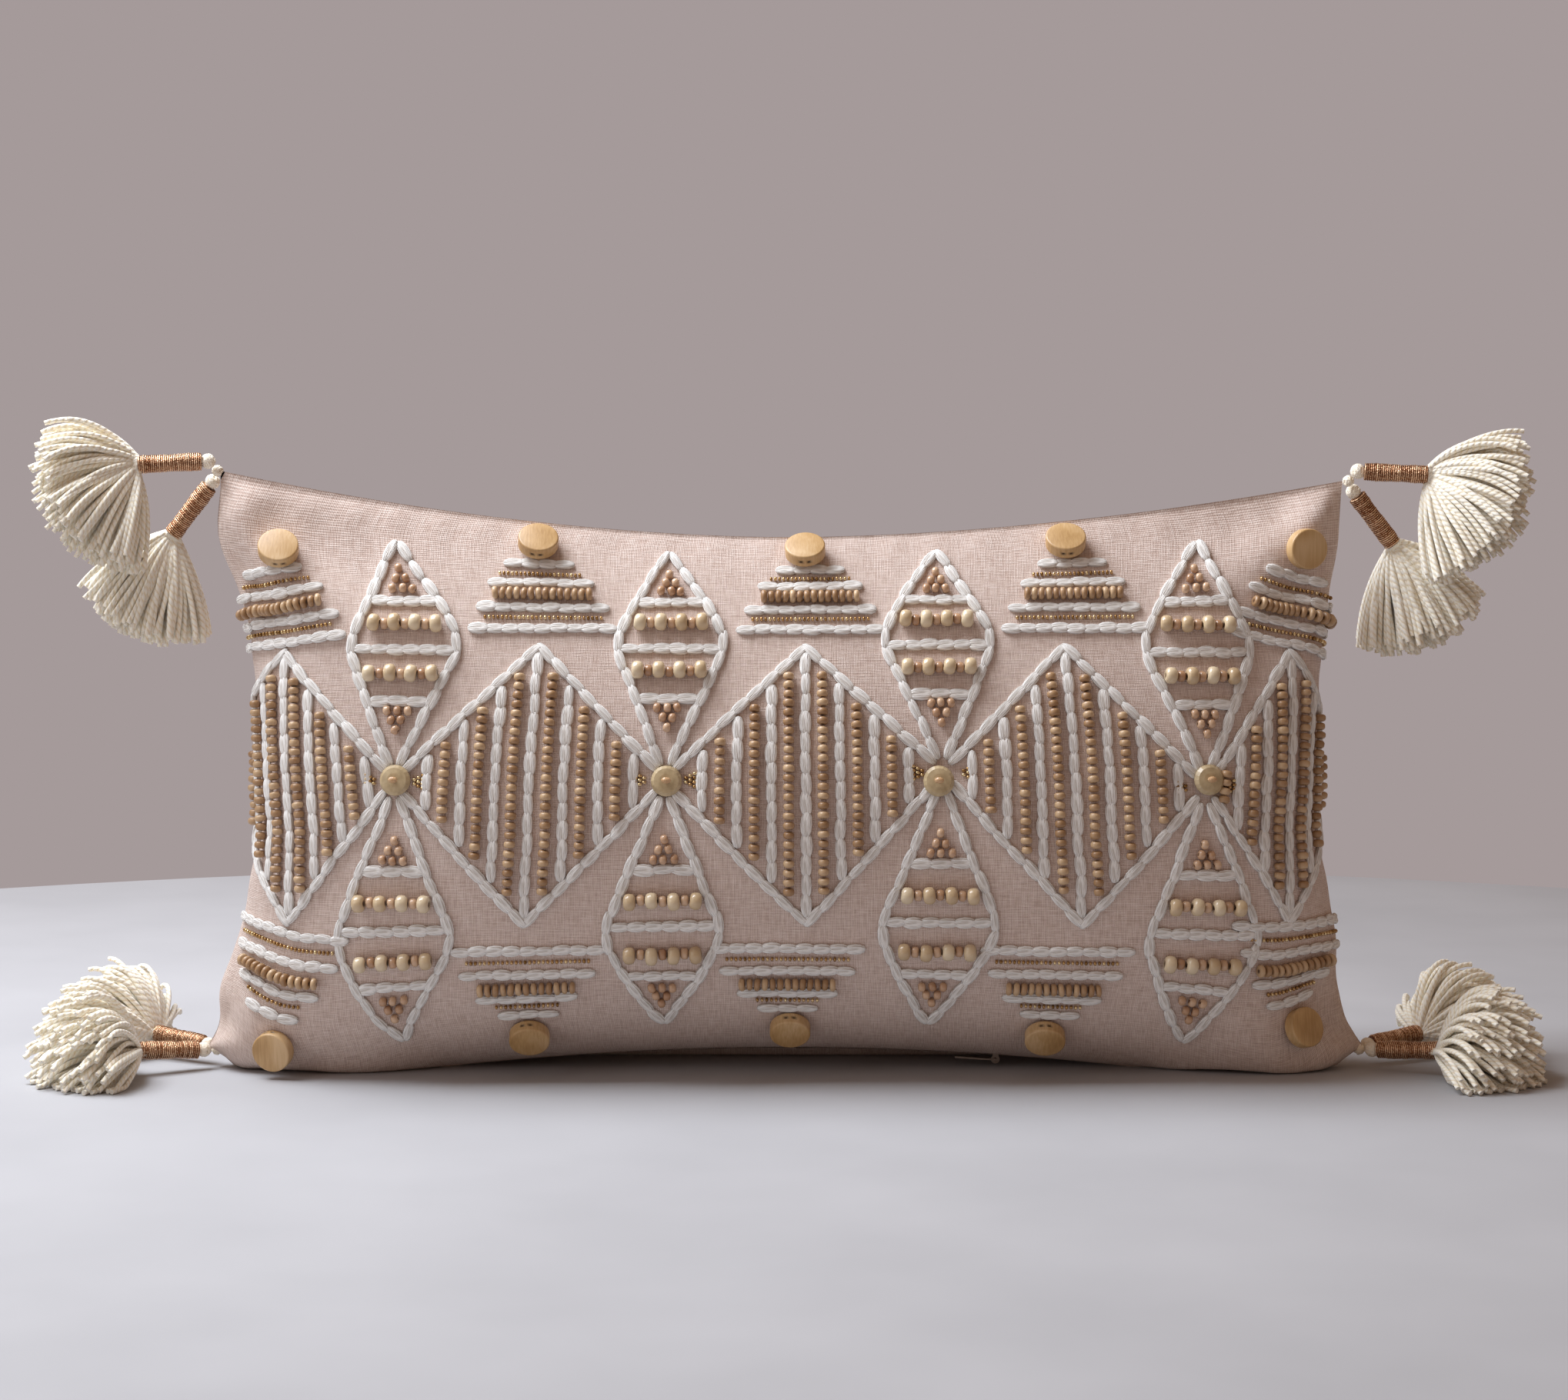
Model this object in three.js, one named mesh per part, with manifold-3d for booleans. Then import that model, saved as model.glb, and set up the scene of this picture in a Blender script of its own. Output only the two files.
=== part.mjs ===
// A lumbar throw pillow standing on its long edge: zipped linen cover, stuffed insert,
// wooden buttons and coin beads sewn on the front, and two wound-neck tassels at each corner.
// Millimetres, +X to the pillow's right as seen from the front, +Y to the back, +Z up.
// The origin is on the surface the pillow stands on, below its centre.

import * as THREE from 'three';
import { mergeVertices } from 'three/addons/utils/BufferGeometryUtils.js';
import Module from 'manifold-3d';

const wasm = await Module();
wasm.setup();

// Driving dimensions --------------------------------------------------------------

// Cover panels, measured flat inside the seams
const PANEL_HALF_WIDTH = 292;
const PANEL_HALF_HEIGHT = 149;
const CLOTH = 1.2;
const SEAM_GAP = 0.3;
const SEAM_Y = 0;

// Stuffed shape
const SIDE_PULL_IN = 27;
const TOP_FLARE = { left: 16, right: 11 };
const BOTTOM_FLARE = 22;
const FLARE_HEIGHT = 125;
const TIP_RISE = { left: 33, right: 28 };
const UNDER_ANGLE = THREE.MathUtils.degToRad(75);
const UNDER_FADE = 0.5;
const SHOULDER_POWER = 1.5;
const SIDE_ROUNDNESS = 5.5;
const CORNER_FLATTENING = 0.4;
const ARCH_HEIGHT = 10;
const ARCH_RADIUS = 1500;
const HEEL = { start: 170, run: 60, depth: 10 };
const CORNER_LIFT = { reach: 42, share: 0.97 };

// Insert
const PLY_GAP = 0.5;
const TICKING = 0.8;
const ZIP_ROOM = 9;

// Zipper in the bottom seam
const ZIP_SLOT = 2;
const ZIP_CLOSED_X = 105;
const ZIP_OPEN_X = -160;
const ZIP_END_LENGTH = 8;
const TAPE = { thick: 0.6, low: 3.2, high: 8.2, y: 2.3 };
const COIL = { wide: 1.2, low: 3.2, high: 4.6, y: 1.2 };
const SLIDER = { length: 9, wide: 3.4, plate: 1.1, neck: 0.7, clearance: 0.3 };
const LUG = { radius: 2.2, hole: 0.95, below: 2.6 };
const PULL = { length: 16, wide: 4, thick: 0.8, cheek: 0.7, pin: 0.65, reach: 3.2 };

// Ornament on the front panel
// Places are on the flat panel: x from its centre line, up from its middle.
const COIN_ROWS = {
  top: { x: 9, pitch: 134, up: 137, endDrop: -8 },
  bottom: { x: 1, pitch: 126, up: -114, endDrop: 12 },
};
const BUTTON_ROW = { x: 7, pitch: 132, up: 17, count: 4 };
const DISC = { radius: 10, thick: 6.5, chamfer: 0.9, hole: 0.6, holeDepth: 5, holeSpacing: 5 };
const BUTTON = { radius: 7.5, thick: 4.2, dome: 1.5, hole: 1.1 };
const STOP_BEAD = { radius: 1.6, half: 2.4 };
const SEAT_GAP = 0.3;

// Tassels
const TIE = { radius: 3, half: 4.2 };
const HEAD_RADIUS = 4.7;
const HEAD_REACH = TIE.radius + HEAD_RADIUS + 0.7;
const HEAD_SPREAD = { out: HEAD_RADIUS + 0.9, across: HEAD_RADIUS + 1.5, up: 1 };
const NECK = { radius: 4.7, length: 31, chamfer: 0.7 };
const SKIRT = { length: 68, halfWidth: 26, halfThick: 12.5, collar: 5.6 };

// Colours
const LINEN = { color: 0xd3bfb4, roughness: 0.95, metalness: 0 };
const CALICO = { color: 0xe9e4da, roughness: 0.95, metalness: 0 };
const FIBRE = { color: 0xf4f2ee, roughness: 1, metalness: 0 };
const WOOD = { color: 0xc99a5b, roughness: 0.55, metalness: 0 };
const COTTON = { color: 0xf0e9da, roughness: 0.9, metalness: 0 };
const METAL_THREAD = { color: 0xb07a4a, roughness: 0.35, metalness: 0.7 };
const NYLON = { color: 0xd8cabd, roughness: 0.6, metalness: 0 };
const ZINC = { color: 0xb9b4aa, roughness: 0.35, metalness: 0.9 };

const pillow = new THREE.Group();

// Helpers -------------------------------------------------------------------------

function add(name, geometry, finish, parent = pillow) {
  const mesh = new THREE.Mesh(geometry, new THREE.MeshStandardMaterial(finish));
  mesh.name = name;
  parent.add(mesh);
  return mesh;
}

function toSolid(geometry) {
  const bare = geometry.clone();
  bare.deleteAttribute('normal');
  bare.deleteAttribute('uv');
  const merged = mergeVertices(bare, 1e-4);
  return new wasm.Manifold(new wasm.Mesh({
    numProp: 3,
    vertProperties: new Float32Array(merged.attributes.position.array),
    triVerts: new Uint32Array(merged.index.array),
  }));
}

function toGeometry(solid) {
  const { vertProperties, triVerts } = solid.getMesh();
  const geometry = new THREE.BufferGeometry();
  geometry.setAttribute('position', new THREE.BufferAttribute(vertProperties, 3));
  geometry.setIndex(new THREE.BufferAttribute(triVerts, 1));
  return geometry;
}

const join = (parts) => toGeometry(parts.map(toSolid).reduce((whole, piece) => whole.add(piece)));

function cut(body, tools) {
  return toGeometry(tools.map(toSolid).reduce((whole, tool) => whole.subtract(tool), toSolid(body)));
}

function fromTriangles(points) {
  const geometry = new THREE.BufferGeometry();
  geometry.setAttribute('position', new THREE.Float32BufferAttribute(points.flatMap((p) => p.toArray()), 3));
  return mergeVertices(geometry, 1e-4);
}

function lathe(profile, segments) {
  return new THREE.LatheGeometry(profile.map(([r, z]) => new THREE.Vector2(r, z)), segments);
}

function box(x0, x1, y0, y1, z0, z1) {
  const geometry = new THREE.BoxGeometry(x1 - x0, y1 - y0, z1 - z0);
  return geometry.translate((x0 + x1) / 2, (y0 + y1) / 2, (z0 + z1) / 2);
}

const smooth = (x) => THREE.MathUtils.smoothstep(x, 0, 1);

// Stuffed shape: the middle section -----------------------------------------------

// t runs up the cloth from the bottom seam (-1) to the top seam (1). The cloth leaves the bottom
// seam almost flat under the weight of the filling, stands upright, then leans in to the top seam.
const SECTION_STEPS = 200;
const sectionT = (k) => (2 * k) / SECTION_STEPS - 1;

function runSection(shoulder) {
  const step = (2 * PANEL_HALF_HEIGHT) / SECTION_STEPS;
  const out = [0];
  const up = [0];
  for (let k = 0; k < SECTION_STEPS; k += 1) {
    const t = sectionT(k + 0.5);
    const lean = UNDER_ANGLE * Math.exp(-(t + 1) / UNDER_FADE) - shoulder * ((t + 1) / 2) ** SHOULDER_POWER;
    out.push(out[k] + Math.sin(lean) * step);
    up.push(up[k] + Math.cos(lean) * step);
  }
  return { out, up };
}

// The shoulder angle is the one that brings the cloth back to the seam plane at the top.
function closedSection() {
  let low = 0.2;
  let high = 2;
  for (let k = 0; k < 40; k += 1) {
    const middle = (low + high) / 2;
    if (runSection(middle).out[SECTION_STEPS] > 0) low = middle;
    else high = middle;
  }
  return runSection(low);
}

const section = closedSection();
const FULLNESS = Math.max(...section.out);
const MID_HEIGHT = section.up[SECTION_STEPS] / 2 + ARCH_HEIGHT;

function along(values, t) {
  const at = THREE.MathUtils.clamp(((t + 1) / 2) * SECTION_STEPS, 0, SECTION_STEPS);
  const k = Math.min(Math.floor(at), SECTION_STEPS - 1);
  return values[k] + (values[k + 1] - values[k]) * (at - k);
}

// Stuffed shape: a row across the panel -------------------------------------------

const ROW_STEPS = 48;
const FULL_SIDE = PANEL_HALF_WIDTH - SIDE_PULL_IN;

// How far the bottom seam would hang below its middle if nothing stood under it. The heels carry
// the pillow, and the corners beyond them are light enough to stay up.
function archDrop(x, half) {
  const heel = HEEL.depth * smooth((Math.abs(x) - HEEL.start) / HEEL.run);
  const corner = smooth(1 - (half - Math.abs(x)) / CORNER_LIFT.reach);
  return ((x * x) / (2 * ARCH_RADIUS) + heel) * (1 - CORNER_LIFT.share * corner);
}

function row(t, side) {
  const hand = side > 0 ? 'right' : 'left';
  const upper = Math.max(t, 0);
  const lower = Math.max(-t, 0);
  const height = ARCH_HEIGHT + along(section.up, t);
  const fullness = Math.max(along(section.out, t) / FULLNESS, 0);
  const half = FULL_SIDE + TOP_FLARE[hand] * upper ** 4
    + BOTTOM_FLARE * Math.max(0, 1 - height / FLARE_HEIGHT);
  const points = [];
  let travelled = 0;
  for (let k = 0; k <= ROW_STEPS; k += 1) {
    const u = Math.sin((k / ROW_STEPS) * Math.PI / 2);
    const x = half * u;
    const flattened = fullness ** (1 - CORNER_FLATTENING * u ** 3);
    const out = FULLNESS * flattened * Math.sqrt(Math.max(0, 1 - u ** SIDE_ROUNDNESS));
    const z = Math.max(0, height + TIP_RISE[hand] * upper ** 6 * u ** 1.8 - lower ** 2 * archDrop(x, half));
    if (k > 0) travelled += Math.hypot(x - points[k - 1].x, out - points[k - 1].out);
    points.push({ x, out, z, travelled });
  }
  return points;
}

// s runs across the cloth from the left seam (-1) to the right seam (1).
function clothPoint(s, t) {
  const points = row(t, s);
  const wanted = Math.abs(s) * points[ROW_STEPS].travelled;
  let k = 0;
  while (k < ROW_STEPS - 1 && points[k + 1].travelled < wanted) k += 1;
  const [a, b] = [points[k], points[k + 1]];
  const share = THREE.MathUtils.clamp((wanted - a.travelled) / (b.travelled - a.travelled), 0, 1);
  const mix = (key) => a[key] + (b[key] - a[key]) * share;
  const edge = Math.abs(s) === 1 || Math.abs(t) === 1;
  return { x: Math.sign(s) * mix('x'), out: edge ? 0 : mix('out'), z: mix('z') };
}

// Panels --------------------------------------------------------------------------

const ACROSS = [0, 0.1, 0.2, 0.3, 0.4, 0.5, 0.6, 0.7, 0.8, 0.88, 0.95, 1];
const COLUMNS = [...ACROSS.slice(1).reverse().map((s) => -s), ...ACROSS];
const ROWS = [-1, -0.93, -0.86, -0.74, -0.58, -0.4, -0.2, 0, 0.2, 0.4, 0.6, 0.78, 0.9, 1];
const cloth = COLUMNS.map((s) => ROWS.map((t) => clothPoint(s, t)));

// One face of a panel: facing is -1 for the front panel and 1 for the back one, inset is how far
// inside the outer cloth it lies, and lift raises the low part clear of the zipper.
function panelGrid(facing, inset, lift, halfGap) {
  return cloth.map((column, i) => column.map(({ x, out, z }, j) => {
    const low = Math.max(0, (MID_HEIGHT - z) / MID_HEIGHT);
    const raised = lift * low ** 2 * (1 - COLUMNS[i] ** 4);
    return new THREE.Vector3(
      x * (1 - inset / FULL_SIDE),
      SEAM_Y + facing * (out * (1 - inset / FULLNESS) + halfGap(i, j)),
      MID_HEIGHT + (z - MID_HEIGHT) * (1 - inset / MID_HEIGHT) + raised,
    );
  }));
}

// Each cell is split by the diagonal that runs towards the panel's middle, so that every corner
// of the panel belongs to triangles that leave the seam plane.
function gridTriangles(grid, flip) {
  const triangles = [];
  const [columns, rows] = [grid.length - 1, grid[0].length - 1];
  for (let i = 0; i < columns; i += 1) {
    for (let j = 0; j < rows; j += 1) {
      const [a, b, c, d] = [grid[i][j], grid[i + 1][j], grid[i + 1][j + 1], grid[i][j + 1]];
      const rising = (i < columns / 2) === (j < rows / 2);
      const cell = rising ? [a, b, c, a, c, d] : [a, b, d, b, c, d];
      triangles.push(...(flip ? cell.reverse() : cell));
    }
  }
  return triangles;
}

function gridRim(grid) {
  const last = grid.length - 1;
  const top = grid[0].length - 1;
  const bottomEdge = grid.map((column) => column[0]);
  const rightEdge = grid[last].slice(1);
  const topEdge = grid.slice(0, last).map((column) => column[top]).reverse();
  const leftEdge = grid[0].slice(1, top).reverse();
  return [...bottomEdge, ...rightEdge, ...topEdge, ...leftEdge];
}

function shell(facing, inset, thick, lift, halfGap) {
  const outer = panelGrid(facing, inset, lift, halfGap);
  const inner = panelGrid(facing, inset + thick, lift, halfGap);
  const back = facing > 0;
  const triangles = [...gridTriangles(outer, back), ...gridTriangles(inner, !back)];
  const [outerRim, innerRim] = [gridRim(outer), gridRim(inner)];
  outerRim.forEach((a, k) => {
    const next = (k + 1) % outerRim.length;
    const [b, c, d] = [outerRim[next], innerRim[next], innerRim[k]];
    triangles.push(...(back ? [a, b, c, a, c, d] : [a, c, b, a, d, c]));
  });
  return fromTriangles(triangles);
}

function stuffing(inset, lift) {
  const front = panelGrid(-1, inset, lift, () => 0);
  const back = panelGrid(1, inset, lift, () => 0);
  return fromTriangles([...gridTriangles(front, false), ...gridTriangles(back, true)]);
}

const plainSeam = () => SEAM_GAP / 2;

// The bottom seam is left open by the slot's width along the zipper.
function zippedSeam(i, j) {
  const { x } = cloth[i][j];
  const onZipper = x > ZIP_OPEN_X - 2 * ZIP_END_LENGTH && x < ZIP_CLOSED_X + 2 * ZIP_END_LENGTH;
  return j === 0 && onZipper ? ZIP_SLOT / 2 : SEAM_GAP / 2;
}

const insertInset = CLOTH + PLY_GAP;
const fillingInset = insertInset + TICKING + PLY_GAP;

const coverFront = add('cover_front_panel', shell(-1, 0, CLOTH, 0, zippedSeam), LINEN);
add('cover_back_panel', shell(1, 0, CLOTH, 0, zippedSeam), LINEN);
add('insert_front_ticking', shell(-1, insertInset, TICKING, ZIP_ROOM, plainSeam), CALICO);
add('insert_back_ticking', shell(1, insertInset, TICKING, ZIP_ROOM, plainSeam), CALICO);
add('insert_filling', stuffing(fillingInset, ZIP_ROOM), FIBRE);

// Zipper --------------------------------------------------------------------------

// The bottom seam arches, so the zipper follows a circle about a centre far below the pillow.
const ARCH_CENTRE = new THREE.Vector3(0, SEAM_Y, ARCH_HEIGHT - ARCH_RADIUS);

function archStrip(low, high, y0, y1) {
  const start = Math.PI / 2 - Math.asin((ZIP_CLOSED_X + ZIP_END_LENGTH) / ARCH_RADIUS);
  const end = Math.PI / 2 - Math.asin((ZIP_OPEN_X - ZIP_END_LENGTH) / ARCH_RADIUS);
  const outline = new THREE.Shape();
  outline.absarc(0, 0, ARCH_RADIUS + high, start, end, false);
  outline.absarc(0, 0, ARCH_RADIUS + low, end, start, true);
  const strip = new THREE.ExtrudeGeometry(outline, { depth: y1 - y0, bevelEnabled: false, curveSegments: 12 });
  return strip.rotateX(Math.PI / 2).translate(0, ARCH_CENTRE.y + y1, ARCH_CENTRE.z);
}

for (const [side, facing] of [['front', -1], ['back', 1]]) {
  const strip = (part, size) => {
    const centre = facing * size.y;
    const half = (size.thick ?? size.wide) / 2;
    add(`zipper_${part}_${side}`, archStrip(size.low, size.high, centre - half, centre + half), NYLON);
  };
  strip('tape', TAPE);
  strip('coil', COIL);
}

// Slider and pull are drawn at the top of the arch, then turned to the closed end.
function atArch(angle) {
  const pivot = new THREE.Group();
  pivot.position.copy(ARCH_CENTRE);
  pivot.rotation.y = angle;
  pillow.add(pivot);
  return pivot;
}

function crossways(radius, y0, y1, z) {
  const rod = new THREE.CylinderGeometry(radius, radius, y1 - y0, 16);
  return rod.translate(0, (y0 + y1) / 2, z);
}

const closedEnd = atArch(Math.asin(ZIP_CLOSED_X / ARCH_RADIUS));
const seam = ARCH_RADIUS;
const halfNeck = SLIDER.neck / 2;
const halfSlider = SLIDER.length / 2;
const lugZ = seam - LUG.below;

function sliderBody() {
  const plate = (z0) => box(-halfSlider, halfSlider, -SLIDER.wide / 2, SLIDER.wide / 2, z0, z0 + SLIDER.plate);
  const top = COIL.high + SLIDER.clearance;
  const under = COIL.low - SLIDER.clearance - SLIDER.plate;
  const neck = box(-1.5, 1.5, -halfNeck, halfNeck, seam - LUG.below, seam + top + SLIDER.plate / 2);
  const lug = crossways(LUG.radius, -halfNeck, halfNeck, lugZ);
  const eye = crossways(LUG.hole, -halfNeck - 1, halfNeck + 1, lugZ);
  return cut(join([plate(seam + top), plate(seam + under), neck, lug]), [eye]);
}

function pullTab() {
  const inside = halfNeck + SLIDER.clearance;
  const outside = inside + PULL.cheek;
  const tail = -PULL.reach - 1.4;
  const cheek = (y0, y1) => box(tail, PULL.pin + 0.3, y0, y1, lugZ - PULL.thick / 2, lugZ + PULL.thick / 2);
  const leaf = box(tail - PULL.length, -PULL.reach, -PULL.wide / 2, PULL.wide / 2,
    lugZ - PULL.thick / 2, lugZ + PULL.thick / 2);
  const pin = crossways(PULL.pin, -outside + 0.1, outside - 0.1, lugZ);
  return join([leaf, cheek(-outside, -inside), cheek(inside, outside), pin]);
}

add('zipper_slider', sliderBody(), ZINC, closedEnd);
add('zipper_pull', pullTab(), ZINC, closedEnd);

// Buttons and coin beads ----------------------------------------------------------

const faceRay = new THREE.Raycaster();
coverFront.updateMatrixWorld(true);

// A flat-backed piece laid on the front panel: it faces the way the cloth faces under it, and its
// back clears the highest cloth below it by the seat gap. Local +Y points away from the cloth.
function layOnCover(x, b, radius) {
  const at = (dx, db) => {
    const p = clothPoint((x + dx) / PANEL_HALF_WIDTH, (b + db) / PANEL_HALF_HEIGHT);
    return new THREE.Vector3(p.x, SEAM_Y - p.out, p.z);
  };
  const centre = at(0, 0);
  const across = at(radius, 0).sub(at(-radius, 0));
  const upward = at(0, radius).sub(at(0, -radius));
  const facing = across.clone().cross(upward).normalize();
  const right = across.normalize();
  const up = facing.clone().cross(right);
  const reach = 4 * radius;
  let nearest = Infinity;
  for (const share of [0, 0.35, 0.7, 1]) {
    for (let k = 0; k < 24; k += 1) {
      const turn = (k / 24) * 2 * Math.PI;
      const foot = centre.clone()
        .addScaledVector(right, share * radius * Math.cos(turn))
        .addScaledVector(up, share * radius * Math.sin(turn));
      faceRay.set(foot.addScaledVector(facing, reach), facing.clone().negate());
      const [hit] = faceRay.intersectObject(coverFront);
      if (hit) nearest = Math.min(nearest, hit.distance);
    }
  }
  const seat = new THREE.Group();
  seat.position.copy(centre).addScaledVector(facing, reach - nearest + SEAT_GAP);
  seat.quaternion.setFromRotationMatrix(new THREE.Matrix4().makeBasis(right, facing, up.negate()));
  pillow.add(seat);
  return seat;
}

// A turned wooden coin bead. Two thread holes enter its rim on the side of the motif it ends:
// toMotif is 1 where the motif lies below the bead and -1 where it lies above.
function coinBead(toMotif) {
  const { radius, thick, chamfer } = DISC;
  const coin = lathe([
    [0, 0], [radius - chamfer, 0], [radius, chamfer],
    [radius, thick - chamfer], [radius - chamfer, thick], [0, thick],
  ], 20);
  const holes = [-1, 1].map((side) => {
    const drill = new THREE.CylinderGeometry(DISC.hole, DISC.hole, DISC.holeDepth * 2, 6);
    return drill.rotateX(Math.PI / 2).translate(side * DISC.holeSpacing / 2, thick / 2, toMotif * radius);
  });
  return cut(coin, holes);
}

for (const [line, { x, pitch, up, endDrop }] of Object.entries(COIN_ROWS)) {
  for (let k = -2; k <= 2; k += 1) {
    const height = up + (Math.abs(k) === 2 ? endDrop : 0);
    const seat = layOnCover(x + k * pitch, height, DISC.radius);
    add(`coin_bead_${line}_${k + 3}`, coinBead(Math.sign(up)), WOOD, seat);
  }
}

function domedButton() {
  const { radius, thick, dome, hole } = BUTTON;
  return lathe([
    [hole, 0], [radius - 1, 0], [radius, 0.9], [radius, thick - dome - 0.6],
    [radius * 0.8, thick - 0.4], [radius * 0.45, thick], [hole, thick], [hole, 0],
  ], 20);
}

function stopBead() {
  const { radius, half } = STOP_BEAD;
  return new THREE.SphereGeometry(radius, 10, 6).scale(half / radius, 1, 1);
}

for (let k = 0; k < BUTTON_ROW.count; k += 1) {
  const fromMiddle = k - (BUTTON_ROW.count - 1) / 2;
  const seat = layOnCover(BUTTON_ROW.x + fromMiddle * BUTTON_ROW.pitch, BUTTON_ROW.up, BUTTON.radius);
  add(`junction_button_${k + 1}`, domedButton(), WOOD, seat);
  const bead = add(`button_stop_bead_${k + 1}`, stopBead(), WOOD, seat);
  bead.position.y = BUTTON.thick + STOP_BEAD.radius + SEAT_GAP;
}

// Tassels -------------------------------------------------------------------------

// A wound neck with its head at the local origin, pointing along local +Y.
function neckGeometry() {
  const { radius, length, chamfer } = NECK;
  return lathe([
    [0, 0], [radius - chamfer, 0], [radius, chamfer],
    [radius, length - chamfer], [radius - chamfer, length], [0, length],
  ], 16);
}

// The skirt leaves the neck along one direction, bends to another and fans out flat.
function skirtGeometry(start, out, fall, flat) {
  const end = start.clone().addScaledVector(fall, SKIRT.length);
  const bend = start.clone().addScaledVector(out, SKIRT.length * 0.3);
  const line = new THREE.QuadraticBezierCurve3(start, bend, end);
  const sides = 14;
  const rings = 6;
  const ring = (k) => {
    const share = k / rings;
    const centre = line.getPoint(share);
    const forward = line.getTangent(share);
    const wide = flat.clone().cross(forward).normalize();
    const thin = forward.clone().cross(wide);
    const spread = smooth(Math.min(1, share * 1.15 + 0.12));
    const halfWide = THREE.MathUtils.lerp(SKIRT.collar, SKIRT.halfWidth, k ? spread : 0);
    const halfThin = THREE.MathUtils.lerp(SKIRT.collar, SKIRT.halfThick, k ? Math.min(1, spread * 1.6) : 0);
    return Array.from({ length: sides }, (_, n) => {
      const turn = (n / sides) * 2 * Math.PI;
      const rounding = k === rings ? 0.14 * SKIRT.length * Math.cos(turn) ** 2 : 0;
      return centre.clone()
        .addScaledVector(wide, halfWide * Math.cos(turn))
        .addScaledVector(thin, halfThin * Math.sin(turn))
        .addScaledVector(forward, -rounding);
    });
  };
  const loops = Array.from({ length: rings + 1 }, (_, k) => ring(k));
  const triangles = [];
  for (let k = 0; k < rings; k += 1) {
    for (let n = 0; n < sides; n += 1) {
      const m = (n + 1) % sides;
      const [a, b, c, d] = [loops[k][n], loops[k][m], loops[k + 1][m], loops[k + 1][n]];
      triangles.push(a, b, c, a, c, d);
    }
  }
  const tail = line.getPoint(1);
  for (let n = 0; n < sides; n += 1) {
    const m = (n + 1) % sides;
    triangles.push(start, loops[0][m], loops[0][n]);
    triangles.push(tail, loops[rings][n], loops[rings][m]);
  }
  return fromTriangles(triangles);
}

function tassel(name, head, out, fall, flat) {
  const knot = new THREE.SphereGeometry(HEAD_RADIUS, 12, 8);
  add(`${name}_head`, knot.translate(head.x, head.y, head.z), COTTON);
  const neckStart = head.clone().addScaledVector(out, HEAD_RADIUS + SEAT_GAP);
  const neck = add(`${name}_neck`, neckGeometry(), METAL_THREAD);
  neck.position.copy(neckStart);
  neck.quaternion.setFromUnitVectors(new THREE.Vector3(0, 1, 0), out);
  const skirtStart = neckStart.addScaledVector(out, NECK.length + SEAT_GAP);
  add(`${name}_skirt`, skirtGeometry(skirtStart, out, fall, flat), COTTON);
}

const SIDES = { left: -1, right: 1 };
const direction = (x, y, z) => new THREE.Vector3(x, y, z).normalize();

function cornerTie(name, at) {
  const tie = new THREE.SphereGeometry(TIE.radius, 10, 8).scale(1, TIE.half / TIE.radius, 1);
  add(`${name}_tie`, tie.translate(at.x, at.y, at.z), COTTON);
}

// Upper corners: the stiff necks stand out sideways, one above the other and one in front of the
// other, and the skirts fall in the plane of the pillow.
for (const [hand, sign] of Object.entries(SIDES)) {
  const tip = clothPoint(sign, 1);
  const name = `tassel_top_${hand}`;
  const tieAt = new THREE.Vector3(tip.x + sign * (TIE.radius + SEAT_GAP), SEAM_Y, tip.z);
  cornerTie(name, tieAt);
  const flat = new THREE.Vector3(0, 1, 0);
  const upper = tieAt.clone().addScaledVector(direction(sign * 0.45, -0.75, 0.6), HEAD_REACH);
  const lower = tieAt.clone().addScaledVector(direction(sign * 0.5, 0.75, -0.75), HEAD_REACH);
  tassel(`${name}_upper`, upper, direction(sign, -0.14, -0.05), direction(sign * 0.72, -0.14, -0.7), flat);
  tassel(`${name}_lower`, lower, direction(sign * 0.62, 0.14, -0.77), direction(sign * 0.42, 0.1, -0.9), flat);
}

// Lower corners: the tassels lie on the surface, one turned to the front and one to the back.
for (const [hand, sign] of Object.entries(SIDES)) {
  const tip = clothPoint(sign, -1);
  const name = `tassel_bottom_${hand}`;
  const tieAt = new THREE.Vector3(tip.x + sign * (TIE.radius + SEAT_GAP), SEAM_Y, tip.z);
  cornerTie(name, tieAt);
  const flat = new THREE.Vector3(0, 0, 1);
  for (const [face, turn] of [['front', -1], ['back', 1]]) {
    const head = tieAt.clone().add(new THREE.Vector3(sign * HEAD_SPREAD.out, turn * HEAD_SPREAD.across, HEAD_SPREAD.up));
    const out = direction(sign * 0.86, turn * 0.5, 0.08);
    const fall = direction(sign * 0.84, turn * 0.54, 0.01);
    tassel(`${name}_${face}`, head, out, fall, flat);
  }
}

export default pillow;
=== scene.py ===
import math
import random

import bmesh
import bpy
import numpy as np
from bpy.props import FloatProperty, IntProperty, PointerProperty, StringProperty
from mathutils import Matrix, Vector


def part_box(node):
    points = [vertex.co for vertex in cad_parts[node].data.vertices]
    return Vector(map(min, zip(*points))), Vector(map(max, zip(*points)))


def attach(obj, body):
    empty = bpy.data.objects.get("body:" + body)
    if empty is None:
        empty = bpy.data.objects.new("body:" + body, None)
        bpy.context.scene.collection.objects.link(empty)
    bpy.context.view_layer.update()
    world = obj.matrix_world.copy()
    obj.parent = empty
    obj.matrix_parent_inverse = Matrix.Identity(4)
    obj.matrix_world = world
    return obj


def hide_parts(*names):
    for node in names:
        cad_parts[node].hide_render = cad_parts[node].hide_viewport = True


bl_info = {
    "name": "Lumbar throw pillow",
    "version": (1, 0, 0),
    "blender": (4, 5, 0),
    "location": "3D View > Sidebar > Pillow",
    "description": "Sews and dresses a beaded lumbar pillow on its packed frame",
    "category": "Object",
}

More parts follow.
